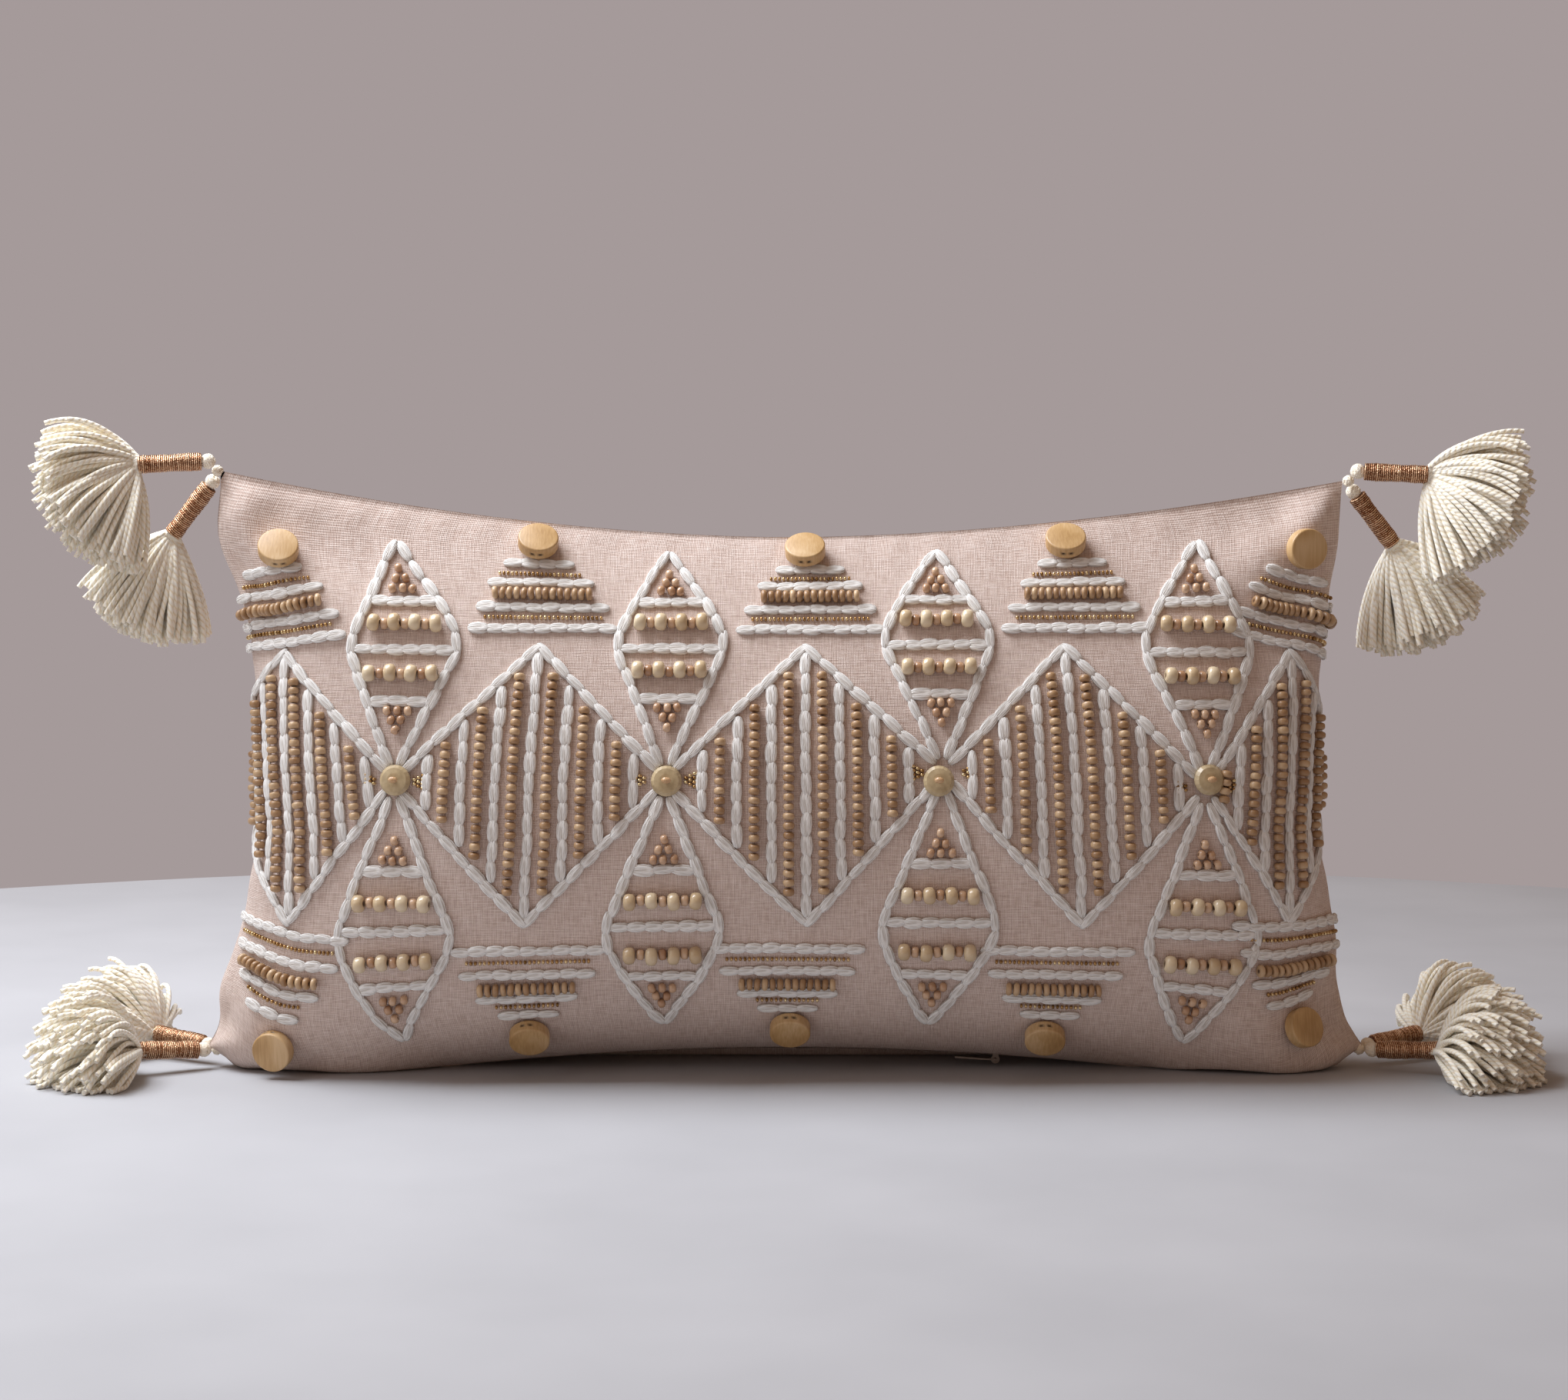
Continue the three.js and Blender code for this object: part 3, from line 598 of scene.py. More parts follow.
def piece_from(bm, name, material, body, nodes=()):
    """Turns a bmesh in millimetres into a finished piece."""
    bmesh.ops.scale(bm, vec=(MM, MM, MM), verts=bm.verts)
    mesh = bpy.data.meshes.new(name)
    bm.to_mesh(mesh)
    bm.free()
    return piece_of(mesh, name, material, body, nodes)


def piece_of(mesh, name, material, body, nodes=()):
    """An object for the mesh, riding on its body and standing for its nodes."""
    mesh.shade_smooth()
    mesh.materials.clear()
    mesh.materials.append(material)
    obj = bpy.data.objects.new(name, mesh)
    bpy.context.scene.collection.objects.link(obj)
    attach(obj, body)
    if nodes:
        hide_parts(*nodes)
    return obj


def mesh_from_strands(name, strands, radius, cyclic=False):
    """Round strands, each a list of points in millimetres, as one mesh with UVs along and around."""
    curve = bpy.data.curves.new(name, "CURVE")
    curve.dimensions = "3D"
    curve.bevel_depth = radius * MM
    curve.bevel_resolution = 1
    curve.use_fill_caps = not cyclic
    for points in strands:
        spline = curve.splines.new("POLY")
        spline.points.add(len(points) - 1)
        for point, place in zip(spline.points, points):
            point.co = (place[0] * MM, place[1] * MM, place[2] * MM, 1.0)
        spline.use_cyclic_u = cyclic
    holder = bpy.data.objects.new(name, curve)
    mesh = bpy.data.meshes.new_from_object(holder)
    mesh.name = name
    bpy.data.objects.remove(holder)
    bpy.data.curves.remove(curve)
    return mesh


# Stitches ----------------------------------------------------------------------------

# Length of the stitches in bars and columns, and the height of each kind of stitch
BAR_STITCH = 8.4
COLUMN_STITCH = 9.6
STITCH_HEIGHT = {"diamond": 3.5, "column": 3.7, "leaf": 3.6, "ladder": 3.5}
# How far a diamond's outline starts from the middle of a button
BUTTON_CLEAR = {"across": 4.5, "up": 5.5}


def add_stitch(yarn, place, length, width, height, rng):
    """One chain stitch: a plump loop, pointed at both ends, with a groove down its middle."""
    x, y, z = yarn.ball.T
    plump = rng.uniform(0.9, 1.1)
    lean = rng.uniform(-0.07, 0.07)
    round_here = np.sqrt(np.maximum(1e-9, 1 - z * z))
    fill = round_here ** -0.2
    groove = 1 - 0.5 * np.exp(-(x / 0.34) ** 2) * (y > 0) * round_here
    shape = np.stack([x * fill * width / 2 * plump + lean * z * length / 2,
                      y * fill * height / 2 * groove, z * length / 2], axis=1)
    yarn.put(shape, place, rng.random())


def walk(points, pitch):
    """Even steps along a line of flat places: a list of (across, up, heading), and the length of a step."""
    steps = [math.dist(p, q) for p, q in zip(points, points[1:])]
    total = sum(steps)
    count = max(1, round(total / pitch))
    found = []
    for k in range(count):
        wanted = (k + 0.5) * total / count
        at = 0
        while at < len(steps) - 1 and wanted > steps[at]:
            wanted -= steps[at]
            at += 1
        p, q = points[at], points[at + 1]
        share = wanted / steps[at]
        found.append((p[0] + (q[0] - p[0]) * share, p[1] + (q[1] - p[1]) * share, (q[0] - p[0], q[1] - p[1])))
    return found, total / count


def rounded(points, rounds=3):
    """Cuts the corners of a line of flat places, keeping its ends."""
    for _ in range(rounds):
        cut = [points[0]]
        for p, q in zip(points, points[1:]):
            cut.append((0.75 * p[0] + 0.25 * q[0], 0.75 * p[1] + 0.25 * q[1]))
            cut.append((0.25 * p[0] + 0.75 * q[0], 0.25 * p[1] + 0.75 * q[1]))
        cut.append(points[-1])
        points = cut
    return points


def inside_seam(points):
    """Keeps the part of a line that lies on the panel, clear of the side seam."""
    edge = HALF_WIDTH - SEAM_CLEAR
    kept = []
    for p, q in zip(points, points[1:]):
        ends = []
        for one, other in ((p, q), (q, p)):
            if abs(one[0]) > edge:
                if abs(other[0]) > edge and one[0] * other[0] > 0:
                    break
                wall = math.copysign(edge, one[0])
                share = (wall - one[0]) / (other[0] - one[0])
                one = (wall, one[1] + (other[1] - one[1]) * share)
            ends.append(one)
        if len(ends) == 2:
            if not kept:
                kept.append(ends[0])
            kept.append(ends[1])
    return kept


def stitch_line(yarn, points, pitch, width, height, rng):
    """A row of chain stitches along a line of flat places."""
    points = inside_seam(points)
    if len(points) < 2:
        return
    found, step = walk(points, pitch)
    for a, b, heading in found:
        wobble = rng.uniform(-0.35, 0.35)
        size = math.hypot(*heading)
        a += wobble * heading[1] / size
        b -= wobble * heading[0] / size
        place = seat(a, b, heading, lift=0.3 * height + rng.uniform(-0.1, 0.2))
        add_stitch(yarn, place, step * 1.34, width * rng.uniform(0.92, 1.08), height, rng)


def leaf_outline(root, tip):
    """Left and right edges of a leaf: straight from the button, widest past the middle, then to the tip."""
    edge = ((0.07, 2.5), (0.44, 21.5), (0.565, 28.0), (0.69, 23.5), (1.0, 0.8))
    return [rounded([along_leaf((root, tip), share, hand * width) for share, width in edge]) for hand in (-1, 1)]


def leaf_half_width(f):
    """Half the inside width of a leaf at a share of its length from the button."""
    return float(np.interp(f, (0.07, 0.44, 0.565, 0.69, 1.0), (1.0, 19.5, 25.0, 21.5, 0.0)))


LEAVES = [(root, tip) for tips in (LEAF_TIPS_UP, LEAF_TIPS_DOWN) for root, tip in zip(BUTTONS, tips)]
# Where a leaf's bars, bead rows and bead triangles lie, as shares of its length from the button
LEAF_BARS = (0.335, 0.555, 0.765)
LEAF_BEAD_ROWS = (0.45, 0.665)
LEAF_TRIANGLES = ((0.295, -1), (0.815, 1))
LEAF_BEADS = {"count": 7, "apart": 5.25, "large_thick": 6.3, "small_thick": 4.2, "small_share": 0.64}
TRIANGLE_BEADS = {"apart": 5.0, "thick": 3.9, "across": 4.9}
LADDER_BEADS = {"pitch": 3.55, "thick": 3.2, "across_share": 1.15}


def along_leaf(leaf, share, across=0.0):
    """A place on a leaf, from its share of the length and its distance across."""
    root, tip = leaf
    return root[0] + (tip[0] - root[0]) * share + across, root[1] + (tip[1] - root[1]) * share


def diamond_sides(k):
    """The left and right corners of a diamond."""
    left = BUTTONS[k - 1] if k > 0 else (2 * DIAMOND_MIDDLES[0] - BUTTONS[0][0], BUTTONS[0][1])
    right = BUTTONS[k] if k < 4 else (2 * DIAMOND_MIDDLES[4] - BUTTONS[3][0], BUTTONS[3][1])
    return left, right


def diamond_ends(k):
    """A diamond's top and foot."""
    lean = DIAMOND_LEAN.get(k, (0.0, 0.0))
    top = END_DIAMOND["top"] if k in DIAMOND_LEAN else DIAMOND_TOP
    return (DIAMOND_MIDDLES[k] + lean[0], top), (DIAMOND_MIDDLES[k] + lean[1], DIAMOND_FOOT)


def diamond_column(k, column, short):
    """A column inside a diamond, as a line of two flat places that ends short of its outline."""
    pitch = END_DIAMOND["pitch"] if k in DIAMOND_LEAN else COLUMN_PITCH
    ends = diamond_ends(k)
    corner = diamond_sides(k)[column > 0]
    found = []
    for end in ends:
        at_corner = (ends[0][0] + ends[1][0]) / 2
        share = min(abs(column * pitch) / abs(corner[0] - at_corner), 1.0)
        b = end[1] + (corner[1] - end[1]) * share
        a = end[0] + column * pitch + (at_corner - end[0]) * share
        found.append((a, b - math.copysign(short, b - corner[1])))
    return found[1], found[0]


def end_drop(line, k):
    """How far a coin bead and its ladder are moved up, as the end ones are sewn closer to the middle."""
    return COIN_ROWS[line]["end_drop"] if k in (0, 4) else 0.0


def ladder_rungs():
    """Every rung of every ladder: what it is, and its line of flat places."""
    for line, rungs in LADDER_RUNGS.items():
        for k, middle in enumerate(LADDER_MIDDLES[line]):
            tilt, shift = LADDER_TILT.get((line, k), (0.0, 0.0))
            for kind, up, half in rungs:
                level = up + end_drop(line, k) + shift
                yield kind, [(middle + share * half, level + tilt * share * half) for share in (-1, -0.5, 0, 0.5, 1)]


# Beads -------------------------------------------------------------------------------


SEED = {"thick": 1.7, "across": 2.3, "apart": 2.1}
BARREL_THICK = 3.8


def add_bead(beads, place, thick, diameter, squareness, rng):
    """A turned bead strung along local Z, with a dimple at each end for its hole."""
    x, y, z = beads.ball.T
    away = np.hypot(x, y)
    pole = away < 1e-6
    grown = np.where(pole, 0.0, away ** squareness / np.maximum(away, 1e-6))
    end = np.where(pole, 0.72, np.abs(z) ** squareness) * np.sign(z)
    shape = np.stack([x * grown * diameter / 2, y * grown * diameter / 2, end * thick / 2], axis=1)
    tilt = Matrix.Rotation(rng.uniform(-0.14, 0.14), 4, "Y") @ Matrix.Rotation(rng.uniform(-0.1, 0.1), 4, "X")
    beads.put(shape, place @ tilt, rng.random())


def bead_line(beads, points, pitch, thick, diameter, rng, squareness=0.7):
    """A row of beads strung along a line of flat places."""
    points = inside_seam(points)
    if len(points) < 2 or math.dist(points[0], points[-1]) < pitch:
        return
    for a, b, heading in walk(points, pitch)[0]:
        size = rng.uniform(0.93, 1.07)
        place = seat(a, b, heading, lift=diameter * 0.46 * size, reach=1.5)
        add_bead(beads, place, thick * rng.uniform(0.92, 1.06), diameter * size, squareness, rng)


def bead_triangle(beads, middle, away, rng):
    """Six beads set 3, 2, 1, the single one furthest along away."""
    gap, across = TRIANGLE_BEADS["apart"], TRIANGLE_BEADS["across"]
    for row in range(3):
        for k in range(3 - row):
            a = middle[0] + (k - (2 - row) / 2) * gap
            b = middle[1] + away * row * gap * 0.95
            place = seat(a + rng.uniform(-0.3, 0.3), b + rng.uniform(-0.3, 0.3), (1.0, rng.uniform(-0.3, 0.3)),
                         lift=across * 0.45, reach=1.5)
            add_bead(beads, place, TRIANGLE_BEADS["thick"], across, 0.8, rng)


def seed_triangle(seeds, middle, away, rng):
    """Seed beads beside a button, set 4, 3, 2 across the panel, narrow towards the button."""
    for row, count in enumerate((4, 3, 2)):
        for k in range(count):
            a = middle[0] + away * row * SEED["apart"]
            b = middle[1] + (k - (count - 1) / 2) * SEED["apart"]
            place = seat(a, b, lift=1.1, reach=1.0)
            add_bead(seeds, place, SEED["thick"], SEED["across"], 0.75, rng)


COIN = {"radius": 10.0, "thick": 6.5, "bevel": 0.9, "hole_apart": 5.0, "hole_depth": 2.4, "stand_off": 1.8}


def coin_bead(place, line):
    """A coin bead with softened rims and the two thread holes in the rim that faces its ladder."""
    bm = bmesh.new()
    hole = bm.verts.layers.float.new("hole")
    bmesh.ops.create_cone(bm, cap_ends=True, segments=48, radius1=COIN["radius"], radius2=COIN["radius"],
                          depth=COIN["thick"])
    rims = [e for e in bm.edges if abs(e.verts[0].co.z - e.verts[1].co.z) < 0.01]
    bmesh.ops.bevel(bm, geom=rims, offset=COIN["bevel"], segments=3, profile=0.5, affect="EDGES")
    sides = [e for e in bm.edges if abs(e.verts[0].co.z - e.verts[1].co.z) > 2]
    bmesh.ops.subdivide_edges(bm, edges=sides, cuts=7, use_grid_fill=True)
    way = 1 if line == "top" else -1
    for hand in (-1, 1):
        middle = Vector((hand * COIN["hole_apart"] / 2, way * COIN["radius"], 0))
        opening = sorted(bm.faces, key=lambda face: (face.calc_center_median() - middle).length)[:2]
        made = bmesh.ops.inset_region(bm, faces=opening, thickness=0.12, depth=0)
        # The hole attribute marks where shade is painted: fully inside each hole, half at its rim
        floor = {vert for face in opening for vert in face.verts}
        for vert in floor:
            vert.co.y -= way * COIN["hole_depth"]
            vert[hole] = 1.0
        for face in made["faces"]:
            for vert in face.verts:
                vert[hole] = max(vert[hole], 0.5)
    turned = place @ Matrix.Rotation(-math.pi / 2, 4, "X")
    bmesh.ops.transform(bm, matrix=turned, verts=bm.verts)
    return bm


# Tassels -----------------------------------------------------------------------------

NECK_RADIUS = 4.7
NECK_LENGTH = 31.0
STRAND_RADIUS = 1.3
KNOT_RADIUS = 3.9
SKIRT_OVERLAP = 5.0
NECK_TURNS = 31
STRAND_STEPS = 16


def box_middle(node):
    """The middle of a node's box, in millimetres."""
    low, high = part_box(node)
    return (Vector(low) + Vector(high)) / (2 * MM)


def tassel_list():
    """Each tassel's name, way out of its knot, and the middle and spread of its fan of yarn."""
    found = []
    for hand, sign in (("left", -1), ("right", 1)):
        found.append({"name": f"tassel_top_{hand}_upper", "out": (sign, -0.14, -0.05), "flat": (0, 1, 0),
                      "fan": (sign * 0.87, -0.12, -0.5), "spread": (0.95, 0.55), "droop": 0.34, "length": 60})
        found.append({"name": f"tassel_top_{hand}_lower", "out": (sign * 0.62, 0.14, -0.77), "flat": (0, 1, 0),
                      "fan": (sign * 0.4, 0.1, -0.91), "spread": (0.62, 0.5), "droop": 0.22, "length": 63})
        for face, turn in (("front", -1), ("back", 1)):
            found.append({"name": f"tassel_bottom_{hand}_{face}", "out": (sign * 0.86, turn * 0.5, 0.08),
                          "flat": (0, 0, 1), "fan": (sign * 0.84, turn * 0.46, 0.16), "spread": (0.9, 0.85),
                          "droop": 0.5, "length": 62})
    return found


def wrapped_knot(name, middle, radius, yarn, stretch=(1, 1, 1), turns=9):
    """A ball of yarn: turns that pass round it at different tilts."""
    rng = random.Random(name)
    loops = []
    for k in range(turns):
        spin = Matrix.Rotation(rng.uniform(0, math.pi), 3, "X") @ Matrix.Rotation(k * math.pi / turns, 3, "Z")
        ring = []
        for n in range(14):
            angle = 2 * math.pi * n / 14
            place = spin @ Vector((math.cos(angle), 0.12 * math.sin(3 * angle), math.sin(angle))) * (radius - yarn)
            ring.append(middle + Vector([place[i] * stretch[i] for i in range(3)]))
        loops.append(ring)
    return mesh_from_strands(name, loops, yarn, cyclic=True)


def neck_piece(name, start, out, material, body):
    """A neck wound with fine metallic thread: a ridge for each turn, and slightly uneven."""
    bm = bmesh.new()
    tone = bm.verts.layers.float.new("tone")
    bmesh.ops.create_cone(bm, cap_ends=True, segments=20, radius1=1, radius2=1, depth=1)
    long_edges = [e for e in bm.edges if abs(e.verts[0].co.z - e.verts[1].co.z) > 0.5]
    bmesh.ops.subdivide_edges(bm, edges=long_edges, cuts=NECK_TURNS * 4 - 1, use_grid_fill=True)
    rng = random.Random(name)
    uneven = [rng.uniform(-0.22, 0.16) for _ in range(NECK_TURNS + 2)]
    for vert in bm.verts:
        share = vert.co.z + 0.5
        angle = math.atan2(vert.co.y, vert.co.x)
        turn = share * NECK_TURNS + angle / (2 * math.pi) + 0.5
        ridge = abs(math.sin(math.pi * turn)) ** 0.7
        loose = uneven[int(max(0, min(NECK_TURNS + 1, turn)))]
        ends = 1 - 0.2 * (abs(share - 0.5) > 0.495)
        away = (NECK_RADIUS - 0.7 + 0.55 * ridge + 0.15 * math.sin(share * 9 + 2 * angle) + 0.8 * loose) * ends
        # The tone paints shade in the grooves between turns and light on their ridges, with a random change from turn
        # to turn
        vert[tone] = ridge * (0.6 + 0.5 * loose)
        vert.co = (vert.co.x * away, vert.co.y * away, share * NECK_LENGTH)
    turned = Vector((0, 0, 1)).rotation_difference(out).to_matrix().to_4x4()
    bmesh.ops.transform(bm, matrix=Matrix.Translation(start) @ turned, verts=bm.verts)
    return piece_from(bm, f"{name}_winding", material, body, (f"{name}_neck",))


def skirt_strands(tassel, start, out, count):
    """Yarn that opens in a fan from the neck, stands out by its own stiffness and falls over."""
    rng = random.Random(tassel["name"])
    flat = Vector(tassel["flat"])
    fan = Vector(tassel["fan"]).normalized()
    wide, thin = flat.cross(out).normalized(), flat
    across = flat.cross(fan).normalized()
    over = fan.cross(across).normalized()
    strands = []
    for k in range(count):
        share = math.sqrt((k + 0.5) / count)
        angle = k * math.pi * (3 - math.sqrt(5)) + rng.uniform(-0.2, 0.2)
        u, v = share * math.cos(angle), share * math.sin(angle)
        place = start + (wide * u + thin * v) * (NECK_RADIUS - 2.3) - out * 2
        length = tassel["length"] * rng.uniform(0.92, 1.03) * (1.02 - 0.06 * share)
        phase = rng.uniform(0, 6.28)
        curl = rng.uniform(0.03, 0.11)
        points = [place.copy()]
        for n in range(STRAND_STEPS):
            along = (n + 0.5) / STRAND_STEPS
            # Strands burst open at the neck, draw together and droop
            burst = 1.75 - 0.9 * along ** 0.7
            turn, tilt = u * tassel["spread"][0] * burst, -v * tassel["spread"][1] * burst
            own = (fan * math.cos(turn) + across * math.sin(turn)) * math.cos(tilt) + over * math.sin(tilt)
            opening = smooth((along - 0.06) * 8.5)
            bend = tassel["droop"] * along ** 1.7
            way = (out * (1 - opening) + own * opening) * (1 - bend) + Vector((0, 0, -1)) * bend
            way += (wide * math.sin(phase + 5 * along) + thin * math.cos(phase + 6 * along)) * curl
            place = place + way.normalized() * length / STRAND_STEPS
            place.z = max(place.z, STRAND_RADIUS + 0.1)
            points.append(place.copy())
        strands.append(points)
    return strands


# Settings a user would change --------------------------------------------------------


class PillowSizes(bpy.types.PropertyGroup):
    """Sizes of the stitched and strung ornament."""

    stitch_length: FloatProperty(name="Stitch length", description="Length of one outline chain stitch",
                                 default=10.2 * MM, unit="LENGTH")
    stitch_width: FloatProperty(name="Stitch width", description="Width of one outline chain stitch",
                                default=5.3 * MM, unit="LENGTH")
    bar_width: FloatProperty(name="Bar width", description="Width of the stitches in bars and columns",
                             default=5.8 * MM, unit="LENGTH")
    bead_diameter: FloatProperty(name="Bead diameter", description="Across a barrel bead",
                                 default=5.5 * MM, unit="LENGTH")
    bead_pitch: FloatProperty(name="Bead pitch", description="From one barrel bead to the next",
                              default=4.45 * MM, unit="LENGTH")
    leaf_bead: FloatProperty(name="Leaf bead", description="Across a large leaf bead",
                             default=8.7 * MM, unit="LENGTH")
    seed_pitch: FloatProperty(name="Seed pitch", description="From one seed bead to the next",
                              default=2.15 * MM, unit="LENGTH")
    strands: IntProperty(name="Tassel strands", description="Yarn ends in one tassel", default=260, min=12)


class PillowColours(bpy.types.PropertyGroup):
    """sRGB colours of the pillow's finishes."""

    linen: StringProperty(name="Linen", description="Cover cloth", default="#DAC5B9")
    # Linen, light threads and Linen, shade are painted light on the raised threads and painted shade between them
    linen_light: StringProperty(name="Linen, light threads", description="Raised threads", default="#E9DAD1")
    linen_shade: StringProperty(name="Linen, shade", description="Between threads", default="#BCA396")
    yarn: StringProperty(name="Yarn", description="Chain stitches", default="#F3EFE9")
    # Yarn, shade is painted shade between the filament bundles
    yarn_shade: StringProperty(name="Yarn, shade", description="Between filaments", default="#BDB2A6")
    tassel: StringProperty(name="Tassel yarn", description="Tassel yarn", default="#FFF4E0")
    # Tassel yarn, shade is painted shade where the plies meet; the knots use it in their random clouding
    tassel_shade: StringProperty(name="Tassel yarn, shade", description="Between plies", default="#F0E2C4")
    thread: StringProperty(name="Thread", description="Wound thread", default="#955F3C")
    # Thread, dark is painted shade between the turns, and Thread, glint paints glints on them
    thread_painted_shade: StringProperty(name="Thread, dark", description="Between turns", default="#3A2115")
    thread_painted_glint: StringProperty(name="Thread, glint", description="Bright foil", default="#F0CBA6")
    coin: StringProperty(name="Coin bead", description="Sliced wood", default="#C19B68")
    coin_dark: StringProperty(name="Coin bead, dark", description="Late growth", default="#A9824F")
    coin_light: StringProperty(name="Coin bead, light", description="Early growth", default="#D2B184")
    seed: StringProperty(name="Seed bead", description="Plated seed", default="#C39C68")
    seed_dark: StringProperty(name="Seed bead, dark", description="Dull seed", default="#8A6638")
    seed_light: StringProperty(name="Seed bead, light", description="Bright seed", default="#F0D9A8")


# Operators ---------------------------------------------------------------------------


class PILLOW_OT_stage(bpy.types.Operator):
    """Sets out the table, the lights and the camera"""

    bl_idname = "pillow.stage"
    bl_label = "Stage"

    def execute(self, context):
        scene = context.scene
        bm = bmesh.new()
        bmesh.ops.create_circle(bm, cap_ends=True, segments=160, radius=1.25)
        bmesh.ops.translate(bm, vec=(0, -0.45, 0), verts=bm.verts)
        mesh = bpy.data.meshes.new("table_top")
        bm.to_mesh(mesh)
        bm.free()
        mesh.materials.append(plain_finish("painted_table", "#A9A8AA", "#B1B0B2", 7.0, 0.7))
        table = bpy.data.objects.new("table_top", mesh)
        scene.collection.objects.link(table)

        world = bpy.data.worlds.new("grey_room")
        world.use_nodes = True
        # The wall is seen behind the pillow, but lights it less than it shows
        back = world.node_tree.nodes["Background"]
        seen = add_node(world.node_tree, "ShaderNodeLightPath"), "Is Camera Ray"
        wall, colour = blend_colours(world.node_tree, seen, linear("#8A7363"), linear("#A59A9A"))
        world.node_tree.links.new(wall.outputs[colour], back.inputs["Color"])
        scene.world = world
        scene.view_settings.view_transform = "Standard"

        self.add_light("overhead_softbox", (-0.72, 0.06, 1.32), (-0.02, 0.0, 0.15), 0.95, 39.5)
        self.add_light("window_fill", (-1.5, -1.1, 0.75), (0.0, 0.0, 0.15), 1.0, 4.6)
        self.add_light("front_fill", (-0.5, -2.0, 1.4), (0.0, 0.0, 0.12), 1.2, 0.8)

        camera = bpy.data.cameras.new("camera")
        camera.lens = 68.9
        camera.sensor_width = 36.0
        holder = bpy.data.objects.new("camera", camera)
        holder.location = (-0.002, -1.5, 0.296)
        holder.rotation_euler = (math.radians(90 - 4.2), 0, 0)
        scene.collection.objects.link(holder)
        scene.camera = holder
        return {"FINISHED"}

    def add_light(self, name, place, target, size, power):
        light = bpy.data.lights.new(name, "AREA")
        light.size = size
        light.energy = power
        light.color = linear("#EFF6FF")[:3]
        holder = bpy.data.objects.new(name, light)
        holder.location = place
        holder.rotation_euler = (Vector(target) - Vector(place)).to_track_quat("-Z", "Y").to_euler()
        bpy.context.scene.collection.objects.link(holder)


class PILLOW_OT_cover(bpy.types.Operator):
    """Sews the two linen panels and stuffs them"""

    bl_idname = "pillow.cover"
    bl_label = "Linen cover"

    def execute(self, context):
        bm = sew_panels(stuffed_panel())
        hold_seam(bm)
        obj = piece_from(bm, "linen_cover", slubby_linen(context.scene.pillow_colours), ROOT,
                         ("cover_front_panel", "cover_back_panel"))
        remember_front(obj.data)
        rounding = obj.modifiers.new("rounding", "SUBSURF")
        rounding.levels = 1
        rounding.render_levels = 1
        return {"FINISHED"}


class PILLOW_OT_insert(bpy.types.Operator):
    """Makes the stuffed insert that fills the cover"""

    bl_idname = "pillow.insert"
    bl_label = "Stuffed insert"

    def execute(self, context):
        shape = stuffed_panel()
        middle = shape[..., 2].max() / 2
        shape[..., 0] *= 1 - 5.0 / HALF_WIDTH
        shape[..., 1] = np.maximum(shape[..., 1] * 0.9 - 1.5, 0)
        shape[..., 2] = middle + (shape[..., 2] - middle) * 0.96
        bm = sew_panels(shape, creased=False)
        calico = plain_finish("calico_ticking", "#DAD3C6", "#EFEAE0", 900.0, 0.95)
        obj = piece_from(bm, "stuffed_insert", calico, ROOT,
                         ("insert_front_ticking", "insert_back_ticking", "insert_filling"))
        return {"FINISHED"}


class PILLOW_OT_stitching(bpy.types.Operator):
    """Works the diamonds, leaves and ladders in white chain stitch"""

    bl_idname = "pillow.stitching"
    bl_label = "Chain stitching"

    def execute(self, context):
        sizes = context.scene.pillow_sizes
        cotton = chain_yarn(context.scene.pillow_colours)
        length, width, bar = sizes.stitch_length / MM, sizes.stitch_width / MM, sizes.bar_width / MM
        rng = random.Random(11)

        yarn = Strung(10, 6)
        for k, middle in enumerate(DIAMOND_MIDDLES):
            for end in diamond_ends(k):
                for corner in diamond_sides(k):
                    start = (corner[0] + math.copysign(BUTTON_CLEAR["across"], middle - corner[0]),
                             corner[1] + math.copysign(BUTTON_CLEAR["up"], end[1] - corner[1]))
                    stitch_line(yarn, [start, end], length, width, STITCH_HEIGHT["diamond"], rng)
        yarn.piece("diamond_outlines", cotton)

        yarn = Strung(10, 6)
        for k in range(5):
            for column in range(-6, 7, 2):
                foot, top = diamond_column(k, column, 4.5)
                if top[1] - foot[1] > 6:
                    stitch_line(yarn, [foot, top], COLUMN_STITCH, bar, STITCH_HEIGHT["column"], rng)
        yarn.piece("diamond_columns", cotton)

        yarn = Strung(10, 6)
        for leaf in LEAVES:
            for edge in leaf_outline(*leaf):
                stitch_line(yarn, edge, length, width, STITCH_HEIGHT["leaf"], rng)
            for share in LEAF_BARS:
                half = leaf_half_width(share)
                ends = [along_leaf(leaf, share, -half), along_leaf(leaf, share, half)]
                stitch_line(yarn, ends, BAR_STITCH, bar, STITCH_HEIGHT["leaf"], rng)
        yarn.piece("leaf_stitching", cotton)

        yarn = Strung(10, 6)
        for kind, points in ladder_rungs():
            if kind == "bar":
                stitch_line(yarn, points, BAR_STITCH, bar * 0.95, STITCH_HEIGHT["ladder"], rng)
        yarn.piece("ladder_bars", cotton)
        return {"FINISHED"}


